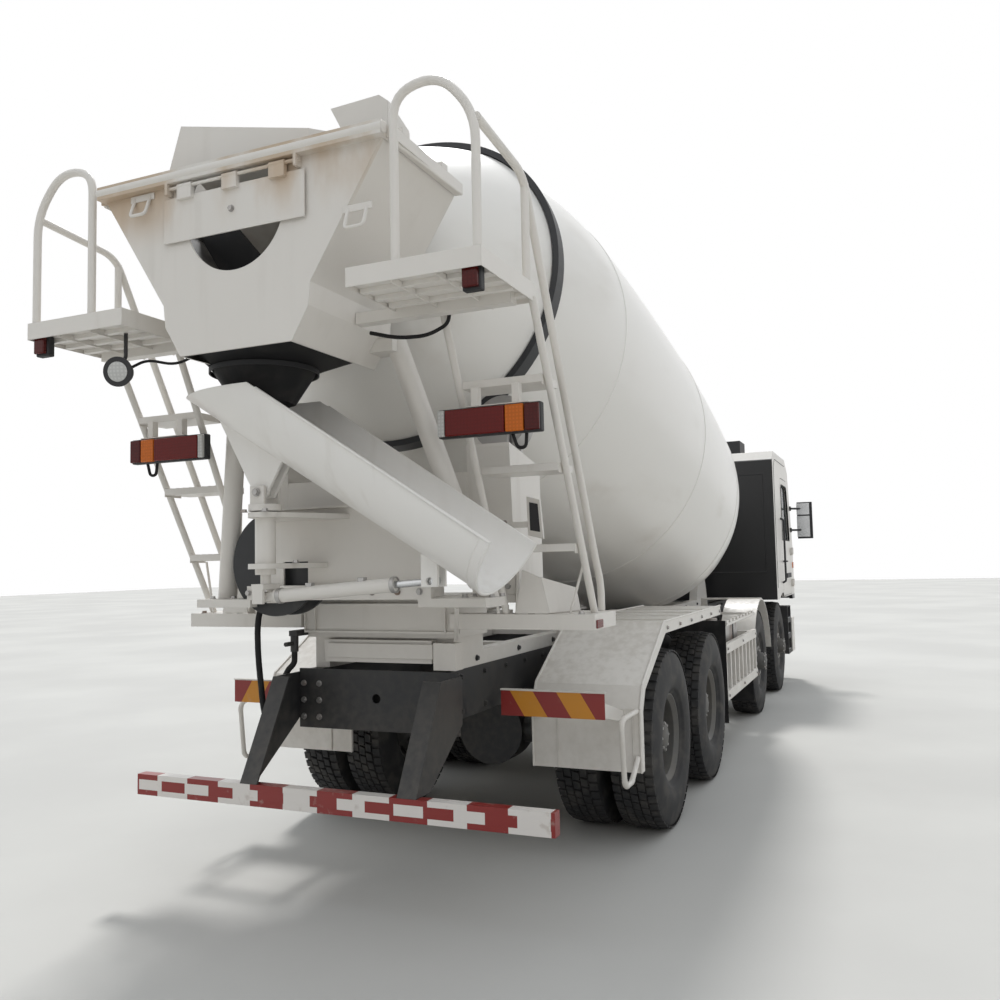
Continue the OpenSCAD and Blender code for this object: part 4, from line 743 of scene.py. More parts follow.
def tread_pitch():
    """Five blocks across the tread, on a radius of the tyre, one pitch long; z is the radius."""
    s = Shape()
    length = 2 * pi * TREAD_TOP / PITCHES
    rows = [(-0.128, -0.078, 0.0), (-0.070, -0.028, 0.35), (-0.021, 0.021, 0.0), (0.028, 0.070, 0.35),
            (0.078, 0.128, 0.0)]
    for y0, y1, shift in rows:
        outer = abs(y0 + y1) > 0.15
        gap = 0.30 if outer else 0.17
        a, b = (shift - 0.5) * length, (shift + 0.5 - gap) * length
        skew = 0.006 if not outer else 0.0
        top = TREAD_TOP - (0.0035 if outer else 0.0)
        verts, faces = [], []
        for z, inset in ((TREAD_FLOOR - 0.004, -0.0015), (top - 0.0015, 0.0), (top, 0.0015)):
            drop0 = 0.006 if outer and y0 < 0 and z > TREAD_FLOOR else 0.0
            drop1 = 0.006 if outer and y1 > 0 and z > TREAD_FLOOR else 0.0
            verts += [(a + inset, y0 + inset, z - drop0), (b - inset - skew, y0 + inset, z - drop0),
                      (b - inset + skew, y1 - inset, z - drop1),
                      (a + inset + skew * 0.5, y1 - inset, z - drop1)]
        for i in range(2):
            faces += [[i * 4 + k, i * 4 + (k + 1) % 4, i * 4 + 4 + (k + 1) % 4, i * 4 + 4 + k]
                      for k in range(4)]
        faces.append([8, 9, 10, 11])
        s.add([(x, y, z - TREAD_TOP) for x, y, z in verts], faces)
    return s


tread_master = template(tread_pitch(), tyre_rubber, 30)


def tyre_shape(centre):
    """Carcass with moulded rings on its sidewalls, turned about y."""
    half = CARCASS + [(TREAD_FLOOR, 0.09)]
    section = half + [(r, -h) for r, h in reversed(half)]
    return Shape().revolve(section, 96, Matrix.Translation(centre) @ Matrix.Rotation(radians(-90), 4, "X"))


def tyre(name, centre, body):
    obj = tyre_shape(centre).done(name, tyre_rubber, body, smooth=50, slot="tyre")
    places = []
    for k in range(PITCHES):
        a = 2 * pi * k / PITCHES
        outward = Vector((sin(a), 0, cos(a)))
        along = Vector((cos(a), 0, -sin(a)))
        turn = Matrix((along, Vector((0, 1, 0)), outward)).transposed()
        places.append((Vector(centre) + outward * TREAD_TOP, turn))
    repeated(name + "_tread", tread_master, places, tyre_rubber, body)
    return obj


# %% [markdown]
# A steel disc wheel is pressed from plate: a well that the tyre's beads sit in, a dished disc with hand
# holes, and a ring of nuts round the hub. The outer wheel of a twin pair is dished inwards, the front
# ones outwards.

# %% Disc wheels
WELL = [(0.275, 0.105), (0.275, 0.092), (0.247, 0.065), (0.247, -0.065), (0.275, -0.092), (0.275, -0.105),
        (0.262, -0.105), (0.236, -0.079), (0.236, 0.079), (0.262, 0.105)]
HOLES = 10


def disc(profile, steps=120):
    """A dished plate with hand holes left open between the spokes; profile is (radius, depth)."""
    s = Shape()
    t = 0.011
    verts, faces = [], []
    for k in range(steps):
        a = 2 * pi * k / steps
        verts += [(r * cos(a), r * sin(a), h) for r, h in profile]
        verts += [(r * cos(a), r * sin(a), h - t) for r, h in profile]
    n = len(profile)
    per = steps // HOLES

    def open_here(k, i):
        return 0 <= i < n - 1 and profile[i][0] >= 0.176 and profile[i
            + 1][0] <= 0.222 and per // 2 - 2 <= k % per < per // 2 + 2

    for k in range(steps):
        a, b = k * 2 * n, (k + 1) % steps * 2 * n
        for i in range(n - 1):
            if open_here(k, i):
                if not open_here((k - 1) % steps, i):
                    faces.append([a + i, a + i + 1, a + n + i + 1, a + n + i])
                if not open_here((k + 1) % steps, i):
                    faces.append([b + i + 1, b + i, b + n + i, b + n + i + 1])
                if not open_here(k, i - 1):
                    faces.append([b + i, a + i, a + n + i, b + n + i])
                if not open_here(k, i + 1):
                    faces.append([a + i + 1, b + i + 1, b + n + i + 1, a + n + i + 1])
                continue
            faces.append([a + i, a + i + 1, b + i + 1, b + i])
            faces.append([a + n + i, b + n + i, b + n + i + 1, a + n + i + 1])
        faces.append([a, b, b + n, a + n])
        faces.append([a + n - 1, a + 2 * n - 1, b + 2 * n - 1, b + n - 1])
    return s.add(verts, faces)


# Radius and height of the dished disc, from the hub out to the well
DISH = [(0.075, 0.0), (0.155, 0.0), (0.168, -0.006), (0.178, -0.020), (0.198, -0.045), (0.220, -0.066),
        (0.232, -0.078), (0.238, -0.080)]
HUB_FRONT = [(ON_AXIS, 0.115), (0.045, 0.112), (0.075, 0.100), (0.088, 0.078), (0.092, 0.05), (0.096, 0.012),
             (0.128, 0.010), (0.130, -0.03), (ON_AXIS, -0.03)]
HUB_REAR = [(ON_AXIS, 0.175), (0.060, 0.172), (0.082, 0.160), (0.098, 0.138), (0.102, 0.080), (0.104, 0.012),
            (0.128, 0.010), (0.130, -0.03), (ON_AXIS, -0.03)]


def side_matrix(x, y, side):
    """Puts z along the axle, pointing away from the truck."""
    return Matrix.Translation((x, y, HUB_Z)) @ Matrix.Rotation(radians(-90 * side), 4, "X")


def wheel_metal(name, x, y, side, flip, body, hub, seat):
    """Rim, disc and hub; flip is -1 where the dish faces outwards, seat is the disc's place on the axle."""
    base = side_matrix(x, y, side)
    s = Shape()
    s.revolve(WELL, 96, base)
    dish = disc([(r, h * flip) for r, h in DISH])
    s.add(dish.verts, dish.faces, base @ Matrix.Translation((0, 0, seat)))
    if hub:
        s.revolve(hub, 48, base @ Matrix.Translation((0, 0, seat)))
    s.done(name, rim_paint, body, slot="steel")
    if hub:
        normal = base.to_3x3() @ Vector((0, 0, 1))
        places = [(base @ Vector((0.1425 * cos(a), 0.1425 * sin(a), seat + 0.001)), normal)
                  for a in [2 * pi * k / 10 + 0.1 for k in range(10)]]
        repeated(name + "_nuts", wheel_nut, places, worn_steel, body)
        places = [(base @ Vector((0.082 * cos(a), 0.082 * sin(a),
                                  seat + (0.098 if hub is HUB_FRONT else 0.158))), normal)
                  for a in [2 * pi * k / 8 for k in range(8)]]
        repeated(name + "_cap_bolts", bolt, places, worn_steel, body, 0.7)


# %% Wheels of all axles
AXLES = {1: 3.7725, 2: 1.9725, 3: -1.1775, 4: AXLE_4}
SIDES = {"left": 1, "right": -1}
for number, x in AXLES.items():
    for word, side in SIDES.items():
        if number < 3:
            node = f"wheel_{number}_{word}"
            obj = tyre("tyre_" + node, (x, side * 1.02, HUB_Z), node)
            wheel_metal("rim_" + node, x, side * 1.02, side, 1, node, HUB_FRONT, 0.085)
        else:
            node = f"twin_wheel_{number}_{word}"
            obj = tyre("tyre_" + node, (x, side * (0.916 + 0.174), HUB_Z), node)
            tyre("inner_tyre_" + node, (x, side * (0.916 - 0.174), HUB_Z), node)
            wheel_metal("rim_" + node, x, side * (0.916 + 0.174), side, -1, node, HUB_REAR, -0.085)
            wheel_metal("inner_rim_" + node, x, side * (0.916 - 0.174), side, 1, node, None, 0.05)
        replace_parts(obj, node)
print("wheels", sum(len(o.data.polygons) for o in bpy.data.objects if "tyre" in o.name and o.type == "MESH"),
      "faces")

# %% [markdown]
# ## Drum
# The shell is three rolled parts: a cone at the mouth, a slightly tapered barrel and a domed front. A smooth
# outline is revolved about the tilted axis, and the seams between the parts are raised weld beads.

# %% Drum shell
TILT = radians(12)
RING = Vector((AXLE_4 - 1.190, 0, 3.270))
forwards = Vector((cos(TILT), 0, -sin(TILT)))
DRUM = Matrix.Translation(RING) @ Matrix((Vector((0, 1, 0)).cross(forwards), Vector((0, 1, 0)),
                                          forwards)).transposed().to_4x4()
OUTLINE = [(-0.700, 0.520), (-0.660, 0.520), (-0.095, 0.900), (0.095, 0.948), (0.820, 1.105), (2.820, 1.200),
           (4.470, 1.185), (4.95, 1.105), (5.27, 1.020), (5.62, 0.900), (5.90, 0.775), (6.05, 0.690),
           (6.12, 0.56),
           (6.16, 0.42), (6.19, 0.25)]


def smooth_line(points, steps=6):
    """Catmull-Rom curve through the outline's points."""
    out = []
    for i in range(len(points) - 1):
        p = [Vector(points[max(0, min(len(points) - 1, i + k))]) for k in (-1, 0, 1, 2)]
        for k in range(steps):
            t = k / steps
            out.append(0.5 * (2 * p[1] + (p[2] - p[0]) * t + (2 * p[0] - 5 * p[1] + 4 * p[2] - p[3]) * t * t
                              + (3 * p[1] - p[0] - 3 * p[2] + p[3]) * t ** 3))
    return out + [Vector(points[-1])]


curve = [(p[0], p[1]) for p in smooth_line(OUTLINE[1:])]
outer = [(0.520, -0.700)] + [(r, s) for s, r in curve]
inner = [(r - 0.010, s) for r, s in outer]
inner[-1] = (ON_AXIS, outer[-1][1] - 0.010)
shell = Shape().revolve(outer + [(ON_AXIS, outer[-1][1])] + inner[::-1], 160, DRUM)
drum = shell.done("drum", drum_paint, "drum", smooth=30, slot="white_paint")
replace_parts(drum, "drum_shell")


def radius_at(s):
    """Outer radius at a distance s forwards of the ring."""
    return float(np.interp(s, [p[0] for p in curve], [p[1] for p in curve]))


seams = Shape()
for s in (0.82, 2.82, 4.47, 5.27):
    seams.tube([DRUM @ Vector((radius_at(s) * cos(a), radius_at(s) * sin(a), s))
                for a in np.linspace(0, 2 * pi, 160, False)],
               0.005, 6, closed=True)
seams.done("drum_seams", drum_paint, "drum", slot="white_paint")

# %% [markdown]
# Inside, two steel blades wind along the wall as screws. They push the concrete forwards while the drum
# turns one way and lift it out of the mouth when it turns the other way. Each is a strip that follows the
# wall's radius.

# %% Blades at the mouth
def blade(start_angle, pitch=1.45, height=0.30, s0=-0.66, s1=5.6, steps=150):
    s = Shape()
    rows = []
    for k in range(steps + 1):
        along = s0 + (s1 - s0) * k / steps
        angle = start_angle + 2 * pi * (along - s0) / pitch
        wall = radius_at(along) - 0.012
        deep = min(height, wall * 0.42)
        for r, shift in ((wall, 0.0), (wall - deep, 0.05)):
            for thick in (-0.004, 0.004):
                rows.append((r * cos(angle), r * sin(angle), along + shift + thick))
    faces = []
    for k in range(steps):
        a, b = 4 * k, 4 * k + 4
        faces += [[a, b, b + 2, a + 2], [a + 1, a + 3, b + 3, b + 1], [a, a + 1, b + 1, b],
                  [a + 2, b + 2, b + 3, a + 3]]
    faces += [[0, 2, 3, 1], [4 * steps, 4 * steps + 1, 4 * steps + 3, 4 * steps + 2]]
    return s.add(rows, faces, DRUM)


for word, angle in (("a", 0.0), ("b", pi)):
    spiral = blade(angle).done("drum_blade_" + word, worn_steel, "drum", slot="steel")
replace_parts(spiral, "drum_blades")
print("drum", len(drum.data.polygons), "faces")

# %% [markdown]
# ## Lamps
# Each rear lamp is a black housing with four lens parts: clear, red, amber and a dark reflector. The
# housings take the place of the plain CAD blocks. A round work lamp hangs under the left platform.

# %% Rear lamps and work lamp
LAMP_X = -4.6275
dark_lens = lens("dark_lens", (0.085, 0.007, 0.006))
housing = Shape().block((LAMP_X - 0.012, 0.677, 2.247), (LAMP_X + 0.03, 1.18, 2.379))
housing.block((-5.2425, 1.100, 2.712), (-5.2025, 1.180, 2.8095)).both_sides()
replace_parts(housing.done("lamp_housings", trim, "chassis", 0.006, slot="lamp"), "rear_lamps")
LENSES = [("clear", clear_lens, 0.681, 0.714), ("red", red_lens, 0.718, 1.010),
          ("amber", amber_lens, 1.014, 1.102),
          ("dark", dark_lens, 1.106, 1.176)]
for word, finish, y0, y1 in LENSES:
    s = Shape().block((LAMP_X - 0.030, y0, 2.253), (LAMP_X - 0.011, y1, 2.373))
    if word == "dark":
        s.block((-5.2620, 1.107, 2.722), (-5.2415, 1.173, 2.800))
    s.both_sides().done("lens_" + word, finish, "chassis", 0.005, slot="lamp")
stems = Shape()
for y in (0.84, 1.04):
    stems.block((LAMP_X - 0.005, y, 2.379), (LAMP_X + 0.035, y + 0.035, 2.4715))
stems.block((LAMP_X - 0.012, 0.82, 2.379), (LAMP_X + 0.045, 1.12, 2.385))
stems.both_sides().done("lamp_brackets", white_paint, "chassis", 0.002, slot="white_paint")

work = axis_frame((-5.205, 0.675, 2.594), (-1, -0.35, -0.15))
lamp_body = Shape().revolve([(ON_AXIS, -0.055), (0.030, -0.052), (0.052, -0.025), (0.066, 0.012),
                             (0.069, 0.02),
                             (0.069, 0.028), (ON_AXIS, 0.028)], 40, work)
lamp_body.tube([(-5.19, 0.69, 2.61), (-5.15, 0.70, 2.68), (-5.15, 0.70, 2.8095)], 0.009)
lamp_body.done("work_lamp", trim, "chassis", slot="lamp")
Shape().revolve([(ON_AXIS, 0.036), (0.025, 0.034), (0.046, 0.030), (0.046, 0.027), (ON_AXIS, 0.027)], 40,
                work).done(
    "work_lamp_lens", clear_lens, "chassis", slot="lamp")

cables = Shape()
for side in (1, -1):
    cables.tube(round_path([(LAMP_X + 0.02, side * 1.03, 2.255), (LAMP_X + 0.03, side * 1.05, 2.185),
                            (LAMP_X + 0.03, side * 1.09, 2.185), (LAMP_X + 0.02, side * 1.10, 2.255)], 0.03),
                            0.008, 8)
cables.tube(round_path([(-4.80, -0.42, 2.735), (-4.78, -0.55, 2.70), (-4.77, -0.70, 2.695),
                        (-4.76, -0.80, 2.74),
                        (-4.75, -0.80, 2.81)], 0.06), 0.009, 8)
cables.tube(round_path([(-4.98, 0.40, 2.70), (-5.04, 0.50, 2.64), (-5.12, 0.60, 2.66), (-5.16, 0.66, 2.62)],
                       0.05), 0.007, 8)
cables.done("lamp_cables", soft_rubber, "chassis", slot="rubber")
print("lamps", len(LENSES))

# %% [markdown]
# ## Rear end
# Bolts, hooks, ribs and bent plates that the photograph shows on the hood, the platforms and the ladders'
# feet.

# %% Hood and hopper details
metalwork = Shape()
for y in (0.52, -0.63):
    z = 3.31 if y > 0 else 3.06
    metalwork.tube(round_path([(HOOD_X - 0.002, y - 0.045, z + 0.07), (HOOD_X - 0.035, y - 0.045, z - 0.02),
                               (HOOD_X - 0.035, y + 0.045, z - 0.02), (HOOD_X - 0.002, y + 0.045, z + 0.07)],
                               0.02), 0.008, 8)
    metalwork.block((HOOD_X - 0.006, y - 0.07, z + 0.055), (HOOD_X, y + 0.07, z + 0.085))
metalwork.tube([(HOOD_X - 0.020, -0.768, 3.432), (HOOD_X - 0.020, 0.768, 3.432)], 0.026, 14)
for side in (1, -1):
    metalwork.tube([(HOOD_X + 0.02, side * 0.775, 3.395), (HOOD_X + 0.64, side * 0.792, 3.395)], 0.008, 8)
metalwork.done("hood_metalwork", white_paint, "chassis", 0.0015, slot="white_paint")
hood_bolts = [((HOOD_X - 0.0165, 0, 3.234), (-1, 0, 0))]
hood_bolts += [((x, s * 0.765, 3.43), (0, s, 0)) for s in (1, -1) for x in (-5.12, -4.90, -4.68)]
repeated("hood_bolts", bolt, hood_bolts, worn_steel, "chassis", 0.9)

# %% Platforms, ladders and pedestal details
RIM_X, IN_X = -5.2725, -4.7275
decks = Shape()
for x in np.arange(RIM_X + 0.09, IN_X, 0.115):
    decks.block((x, 0.606, 2.790), (x + 0.03, 1.189, 2.811))
for y in (0.5965, 1.1955):
    decks.block((RIM_X - 0.003, y, 2.790), (IN_X + 0.003, y + 0.003, 2.871))
for x in (RIM_X - 0.003, IN_X):
    decks.block((x, 0.597, 2.790), (x + 0.003, 1.198, 2.871))
for y in (0.80, 1.00):
    decks.block((RIM_X + 0.01, y, 2.783), (IN_X, y + 0.006, 2.8105))
decks.both_sides().done("platform_ribs", white_paint, "chassis", 0.0015, slot="white_paint")
stud = template(Shape().block((-0.016, -0.0035, 0), (0.016, 0.0035, 0.0035)))
studs = []
for i, x in enumerate(np.arange(RIM_X + 0.035, IN_X - 0.02, 0.042)):
    for k, y in enumerate(np.arange(0.632, 1.175, 0.042)):
        turn = Matrix.Rotation(radians(45 if (i + k) % 2 else -45), 3, "Z")
        studs += [((x, y, 2.865), turn), ((x, -y, 2.865), turn)]
repeated("platform_studs", stud, studs, white_paint, "chassis")
treads = []
for x, z, deep in ((-4.5975, 2.507, 0.20), (-4.4075, 2.130, 0.20), (-4.2075, 1.760, 0.13)):
    for k, dx in enumerate(np.arange(0.025, deep - 0.01, 0.035)):
        for y in np.arange(0.82, 1.15, 0.045):
            turn = Matrix.Rotation(radians(45 if k % 2 else -45), 3, "Z")
            treads += [((x + dx, y, z), turn), ((x + dx, -y, z), turn)]
repeated("step_studs", stud, treads, white_paint, "chassis", 0.9)

feet = Shape()
feet.plate([(-4.125, 0.825, 1.424), (-4.125, 1.000, 1.424), (-4.125, 0.960, 1.600), (-4.125, 0.865, 1.640)],
           (0.006, 0, 0))
feet.plate([(-4.125, 1.000, 1.424), (-3.860, 1.070, 1.424), (-3.860, 1.050, 1.540), (-4.125, 0.960, 1.600)],
           (0, 0.006, 0.002))
feet.plate([(-4.110, 0.895, 1.810), (-4.110, 0.975, 1.790), (-4.110, 0.960, 1.985), (-4.110, 0.890, 2.005)],
           (0.020, 0, 0))
feet.block((-4.105, 0.803, 1.850), (-4.085, 0.900, 1.880))
feet.tube([(-4.130, 0.735, 1.424), (-4.125, 0.700, 1.700)], 0.009, 8)
feet.tube([(-4.090, 1.100, 1.424), (-4.060, 1.180, 1.72)], 0.007, 8)
for x, z in ((-4.596, 2.490), (-4.406, 2.113), (-4.206, 1.743)):
    feet.block((x, 1.168, z - 0.028), (x + 0.125, 1.173, z + 0.018))
feet.both_sides().done("ladder_plates", white_paint, "chassis", 0.0015, slot="white_paint")
Shape().block((-4.110, 1.235, 1.352), (-4.010, 1.2415, 1.392)).both_sides().done("side_markers", red_lens,
    "chassis", 0.003, slot="lamp")
Shape().plate([(-4.1115, 0.907, 1.835), (-4.1115, 0.960, 1.825), (-4.1115, 0.950, 1.965),
               (-4.1115, 0.905, 1.975)],
              (0.002, 0, 0)).both_sides().done("ladder_slots", trim, "chassis", slot="trim")

rear_bolts = []
for s in (1, -1):
    for z in (1.56, 1.72, 1.88, 2.04):
        rear_bolts += [((-4.060 - (z - 1.56) * 0.03, s * y, z), (-1, 0, 0)) for y in (0.600, 0.760)]
    rear_bolts += [((-4.4783 - 0.040, s * y, 1.550), (-1, 0, 0)) for y in (0.10, 0.24, 0.38, 0.50)]
    rear_bolts += [((x, s * y, 1.421), (0, 0, 1)) for x in (-4.10, -3.82) for y in (0.90, 1.16)]
    rear_bolts += [((-4.3415 + dx, s * (0.786 + dy), 1.517), (0, 0, 1)) for dx in (-0.07, 0.05)
                   for dy in (-0.10, 0.04)]
    rear_bolts += [((-4.0885 - 0.012, s * y, z), (-1, 0, 0)) for y in (0.36, 0.46)
                   for z in (0.86, 0.95, 1.04)]
    rear_bolts += [((-4.9075, 0.15 + s * 0.06, 1.937), (0, 0, 1))]
    rear_bolts += [((-4.73, 0.15 - 0.10 * s, 1.697), (0, 0, 1))]
repeated("rear_bolts", bolt, rear_bolts, worn_steel, "chassis")
print("studs", len(studs) + len(treads), "bolts", len(rear_bolts) + len(hood_bolts))

# %% [markdown]
# The beam that carries the pedestal has a panel with folded ends. The lift cylinder has ports and end rings.

# %% Beam panel, stay and cylinder fittings
panel = Shape()
panel.plate([(-4.105, -0.50, 1.475), (-4.105, 0.44, 1.475), (-4.105, 0.44, 1.318), (-4.105, -0.50, 1.318)],
            (0.006, 0, 0))
for y in (-0.50, 0.434, -0.43, 0.37):
    panel.block((-4.125, y, 1.318), (-4.100, y + 0.006, 1.475))
panel.block((-4.118, -0.50, 1.462), (-4.100, 0.44, 1.475)).block((-4.118, -0.50, 1.318),
    (-4.100, 0.44, 1.330))
panel.block((-4.105, -0.345, 1.185), (-4.092, 0.300, 1.262))
panel.block((-4.112, -0.480, 1.130), (-4.020, -0.352, 1.270))
panel.tube([(-4.508, -0.690, 1.475), (-4.180, -0.520, 1.300)], 0.011, 10)
panel.done("beam_panel", white_paint, "chassis", 0.0015, slot="white_paint")
fittings = Shape()
for y in (-0.10, -0.38):
    z = 1.54 + (0.15 - y) * 0.073
    fittings.block((-4.8435, y - 0.016, z + 0.026), (-4.8115, y + 0.016, z + 0.046))
barrel = axis_frame((CHUTE_X, CHUTE_Y, 1.54), (0, -0.89, 0.065))
for h in (0.075, 0.686):
    fittings.revolve([(0.031, h), (0.0365, h), (0.0365, h + 0.022), (0.031, h + 0.022)], 40, barrel)
fittings.done("cylinder_fittings", worn_steel, "cylinder", 0.002, slot="steel")

# %% Rolled rims of the chute
SLOPE = radians(33)
down = Vector((0, -cos(SLOPE), -sin(SLOPE)))
lift = Vector((0, -sin(SLOPE), cos(SLOPE)))


def trough(along, angle, extra=0.0):
    """A point of the trough: distance down from its middle, angle from the bottom, offset outwards."""
    r = 0.245 + 0.055 * (1.335 - along) / 2.055 + extra
    middle = Vector((CHUTE_X, 0, 2.480)) + down * along
    return middle + Vector((1, 0, 0)) * (r * sin(angle)) - lift * (r * cos(angle))


chute_parts = Shape()
for side in (1, -1):
    chute_parts.tube([trough(a, side * pi / 2, 0.002) for a in (0.02, 0.5, 1.0, 1.335)], 0.007, 8)
chute_parts.tube([trough(1.332, t, 0.003) for t in np.linspace(-1.56, 1.56, 25)], 0.007, 8)
chute_parts.tube([trough(1.286, t, 0.003) for t in np.linspace(-1.56, 1.56, 25)], 0.005, 8)
chute_parts.done("chute_rims", chute_paint, "chute", slot="white_paint")
repeated("pin_caps", bolt, [((CHUTE_X + s * 0.0655, CHUTE_Y, 2.03), (s, 0, 0)) for s in (1, -1)], worn_steel,
         "chute", 1.2)

# %% [markdown]
# ## Collector
# The rubber skirt below the hood hangs in wide folds and is clamped by a hoop.

# %% Skirt folds
skirt = Shape()
rings, around = 9, 120
verts = []
for inner in (0, 1):
    for i in range(rings):
        t = i / (rings - 1)
        for k in range(around):
            a = 2 * pi * k / around
            wave = 0.5 + 0.5 * sin(9 * a + 0.6 * sin(3 * a))
            r = 0.250 - 0.105 * t - 0.010 * wave * t ** 0.5 - 0.006 * inner
            verts.append((CHUTE_X + r * cos(a), CHUTE_Y + r * sin(a), 2.6185 - 0.166 * t))
faces = []
for inner in (0, 1):
    for i in range(rings - 1):
        for k in range(around):
            a, b = inner * rings * around + i * around, inner * rings * around + (i + 1) * around
            m = (k + 1) % around
            faces.append([a + k, a + m, b + m, b + k])
for i in (0, rings - 1):
    for k in range(around):
        m = (k + 1) % around
        faces.append([i * around + k, i * around + m, (rings + i) * around + m, (rings + i) * around + k])
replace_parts(skirt.add(verts, faces).done("skirt", soft_rubber, "chassis", slot="rubber"), "collector")
Shape().revolve([(0.250, 0), (0.256, 0), (0.256, 0.022), (0.250, 0.022)], 96,
                Matrix.Translation((CHUTE_X, CHUTE_Y, 2.592))).done(
    "skirt_hoop", trim, "chassis", slot="trim")

# %% [markdown]
# A rubber sheet closes the space between the hood's foot and the skirt. Behind the hood's window two dark
# cheeks of black rubber stand beside the drum's mouth as painted shade, so no daylight shows past it.

# %% Sheet and cheeks
boot = Shape()
verts = []
around = 96
for inner in (0, 0.005):
    for low in (False, True):
        for k in range(around):
            a = 2 * pi * k / around
            c, s = cos(a), sin(a)
            reach = 1 / max(abs(c) / 0.30, abs(s) / 0.292)
            if low:
                verts.append((CHUTE_X + (0.249 - inner) * c, CHUTE_Y + (0.249 - inner) * s, 2.6165))
            else:
                verts.append((-4.905 + (reach - inner) * c, (reach - inner) * s, 2.668))
faces = []
for k in range(around):
    m = (k + 1) % around
    faces.append([k, m, around + m, around + k])
    faces.append([2 * around + k, 2 * around + m, 3 * around + m, 3 * around + k])
    faces.append([k, m, 2 * around + m, 2 * around + k])
    faces.append([around + k, around + m, 3 * around + m, 3 * around + k])
boot.add(verts, faces).done("hood_sheet", soft_rubber, "chassis", slot="rubber")
# Painted shade: black sheets put where behind the hood's window there is only shade.
shade_cheek = Shape()
heights = np.linspace(2.96, 3.455, 16)
edge = [(-4.578, 0.36 * cos(asin(max(-1, min(1, (3.34 - z) / 0.40)))), z) for z in heights]
outer = [(-4.578, 0.385 + (z - 2.86) * 0.645, z) for z in reversed(heights)]
shade_cheek.plate(edge + outer, (0.005, 0, 0))
shade_cheek.both_sides().done("mouth_cheeks", soft_rubber, "chassis", slot="rubber")

# %% [markdown]
# ## Guard rails
# The rails are bent tubes: a hoop with wide bends at the rear of each platform and a long rail down the
# ladder.

# %% Rails
rails = Shape()
POST_X, OUT_Y = -5.2475, 1.172
rails.tube(round_path([(POST_X, 0.813, 2.8655), (POST_X, 0.813, 3.555), (POST_X, 1.020, 3.590),
                       (POST_X, OUT_Y, 3.405),
                       (POST_X, OUT_Y, 2.8655)], 0.11), 0.0185, 16)
long_rail = [(-2.712, 3.390), (-2.240, 3.345), (-1.362, 1.680), (-1.285, 1.560), (-1.285, 1.4215)]
rails.tube(round_path([(AXLE_4 + x, OUT_Y, z) for x, z in long_rail], 0.09), 0.0185, 16)
rails.tube([(AXLE_4 - 2.222, OUT_Y, 2.8655), (AXLE_4 - 2.222, OUT_Y, 3.310)], 0.018, 14)
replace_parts(rails.both_sides().done("rails", white_paint, "chassis", slot="white_paint"), "guard_rails")

# %% [markdown]
# ## Chassis
# Rows of bolts along the rails, clamps on the springs, straps on the tank, brake chambers, tail pipe and
# mud flaps.

# %% Rails, springs, tanks and flaps
BOGIE_X = -1.8525
chassis_bolts = []
for s in (1, -1):
    for x in np.arange(-3.95, 4.8, 0.30):
        chassis_bolts += [((x, s * 0.4302, z), (0, s, 0)) for z in (0.90, 1.08)]
    for x in np.arange(-3.90, 2.8, 0.60):
        chassis_bolts += [((x + 0.15, s * 0.4302, 1.16), (0, s, 0))]
repeated("rail_bolts", bolt, chassis_bolts, black_paint, "chassis")
clamps = Shape()
for x in (AXLES[1], AXLES[2]):
    for dx in (-0.075, 0.075):
        clamps.tube(round_path([(x + dx, 0.345, 0.475), (x + dx, 0.345, 0.700), (x + dx, 0.425, 0.700),
                                (x + dx, 0.425, 0.475)], 0.02), 0.010, 8)
    clamps.block((x - 0.11, 0.336, 0.690), (x + 0.11, 0.434, 0.708))
    clamps.tube([(x + 0.22, 0.30, 0.52), (x + 0.26, 0.47, 0.98)], 0.026, 14)
    clamps.tube([(x + 0.22, 0.30, 0.52), (x + 0.24, 0.39, 0.76)], 0.034, 14)
for x in (BOGIE_X - 0.08, BOGIE_X + 0.08):
    clamps.tube(round_path([(x, 0.29, 0.62), (x, 0.29, 0.79), (x, 0.40, 0.79), (x, 0.40, 0.62)], 0.02),
                0.012, 8)
for x in (AXLES[3], AXLES[4]):
    clamps.revolve([(ON_AXIS, 0), (0.075, 0), (0.082, 0.03), (0.082, 0.10), (0.070, 0.14), (0.03, 0.15),
                    (ON_AXIS, 0.15)], 32,
                   axis_frame((x - 0.16, 0.50, 0.66), (-1, 0, 0.25)))
clamps.both_sides().done("spring_clamps", black_paint, "chassis", slot="black_paint")
tank = Shape()
for x in (-0.12, 0.44):
    tank.block((x, -1.124, 0.516), (x + 0.05, -0.516, 0.520)).block((x, -1.124, 1.060),
        (x + 0.05, -0.430, 1.064))
    tank.block((x, -1.124, 0.516), (x + 0.05, -1.120, 1.064))
tank.done("tank_straps", black_paint, "chassis", 0.001, slot="black_paint")
caps = Shape().revolve([(ON_AXIS, 0.045), (0.045, 0.043), (0.052, 0.036), (0.052, 0), (ON_AXIS, 0)], 32,
                       Matrix.Translation((0.60, -0.90, 1.060)))
for x in (-0.30, -0.05, 0.10):
    for z in (0.72, 0.98):
        caps.revolve([(0.1205, 0), (0.1235, 0.0), (0.1235, 0.012), (0.1205, 0.012)], 48,
                     axis_frame((x, 0.76, z), (1, 0, 0)))
caps.done("tank_caps", worn_steel, "chassis", slot="steel")
pipe = Shape().revolve([(ON_AXIS, 0), (0.105, 0.01), (0.115, 0.03), (0.115, 0.36), (0.105, 0.38),
                        (ON_AXIS, 0.39)], 40,
                       axis_frame((0.86, 0.66, 0.62), (1, 0, 0)))
pipe.tube(round_path([(0.88, 0.66, 0.62), (0.72, 0.66, 0.60), (0.66, 0.74, 0.56), (0.66, 1.06, 0.52)], 0.06),
          0.042, 16)
pipe.tube([(1.05, 0.66, 0.62), (1.05, 0.50, 0.80), (1.05, 0.44, 0.90)], 0.022, 8)
pipe.done("silencer", worn_steel, "chassis", slot="steel")
flaps = Shape()
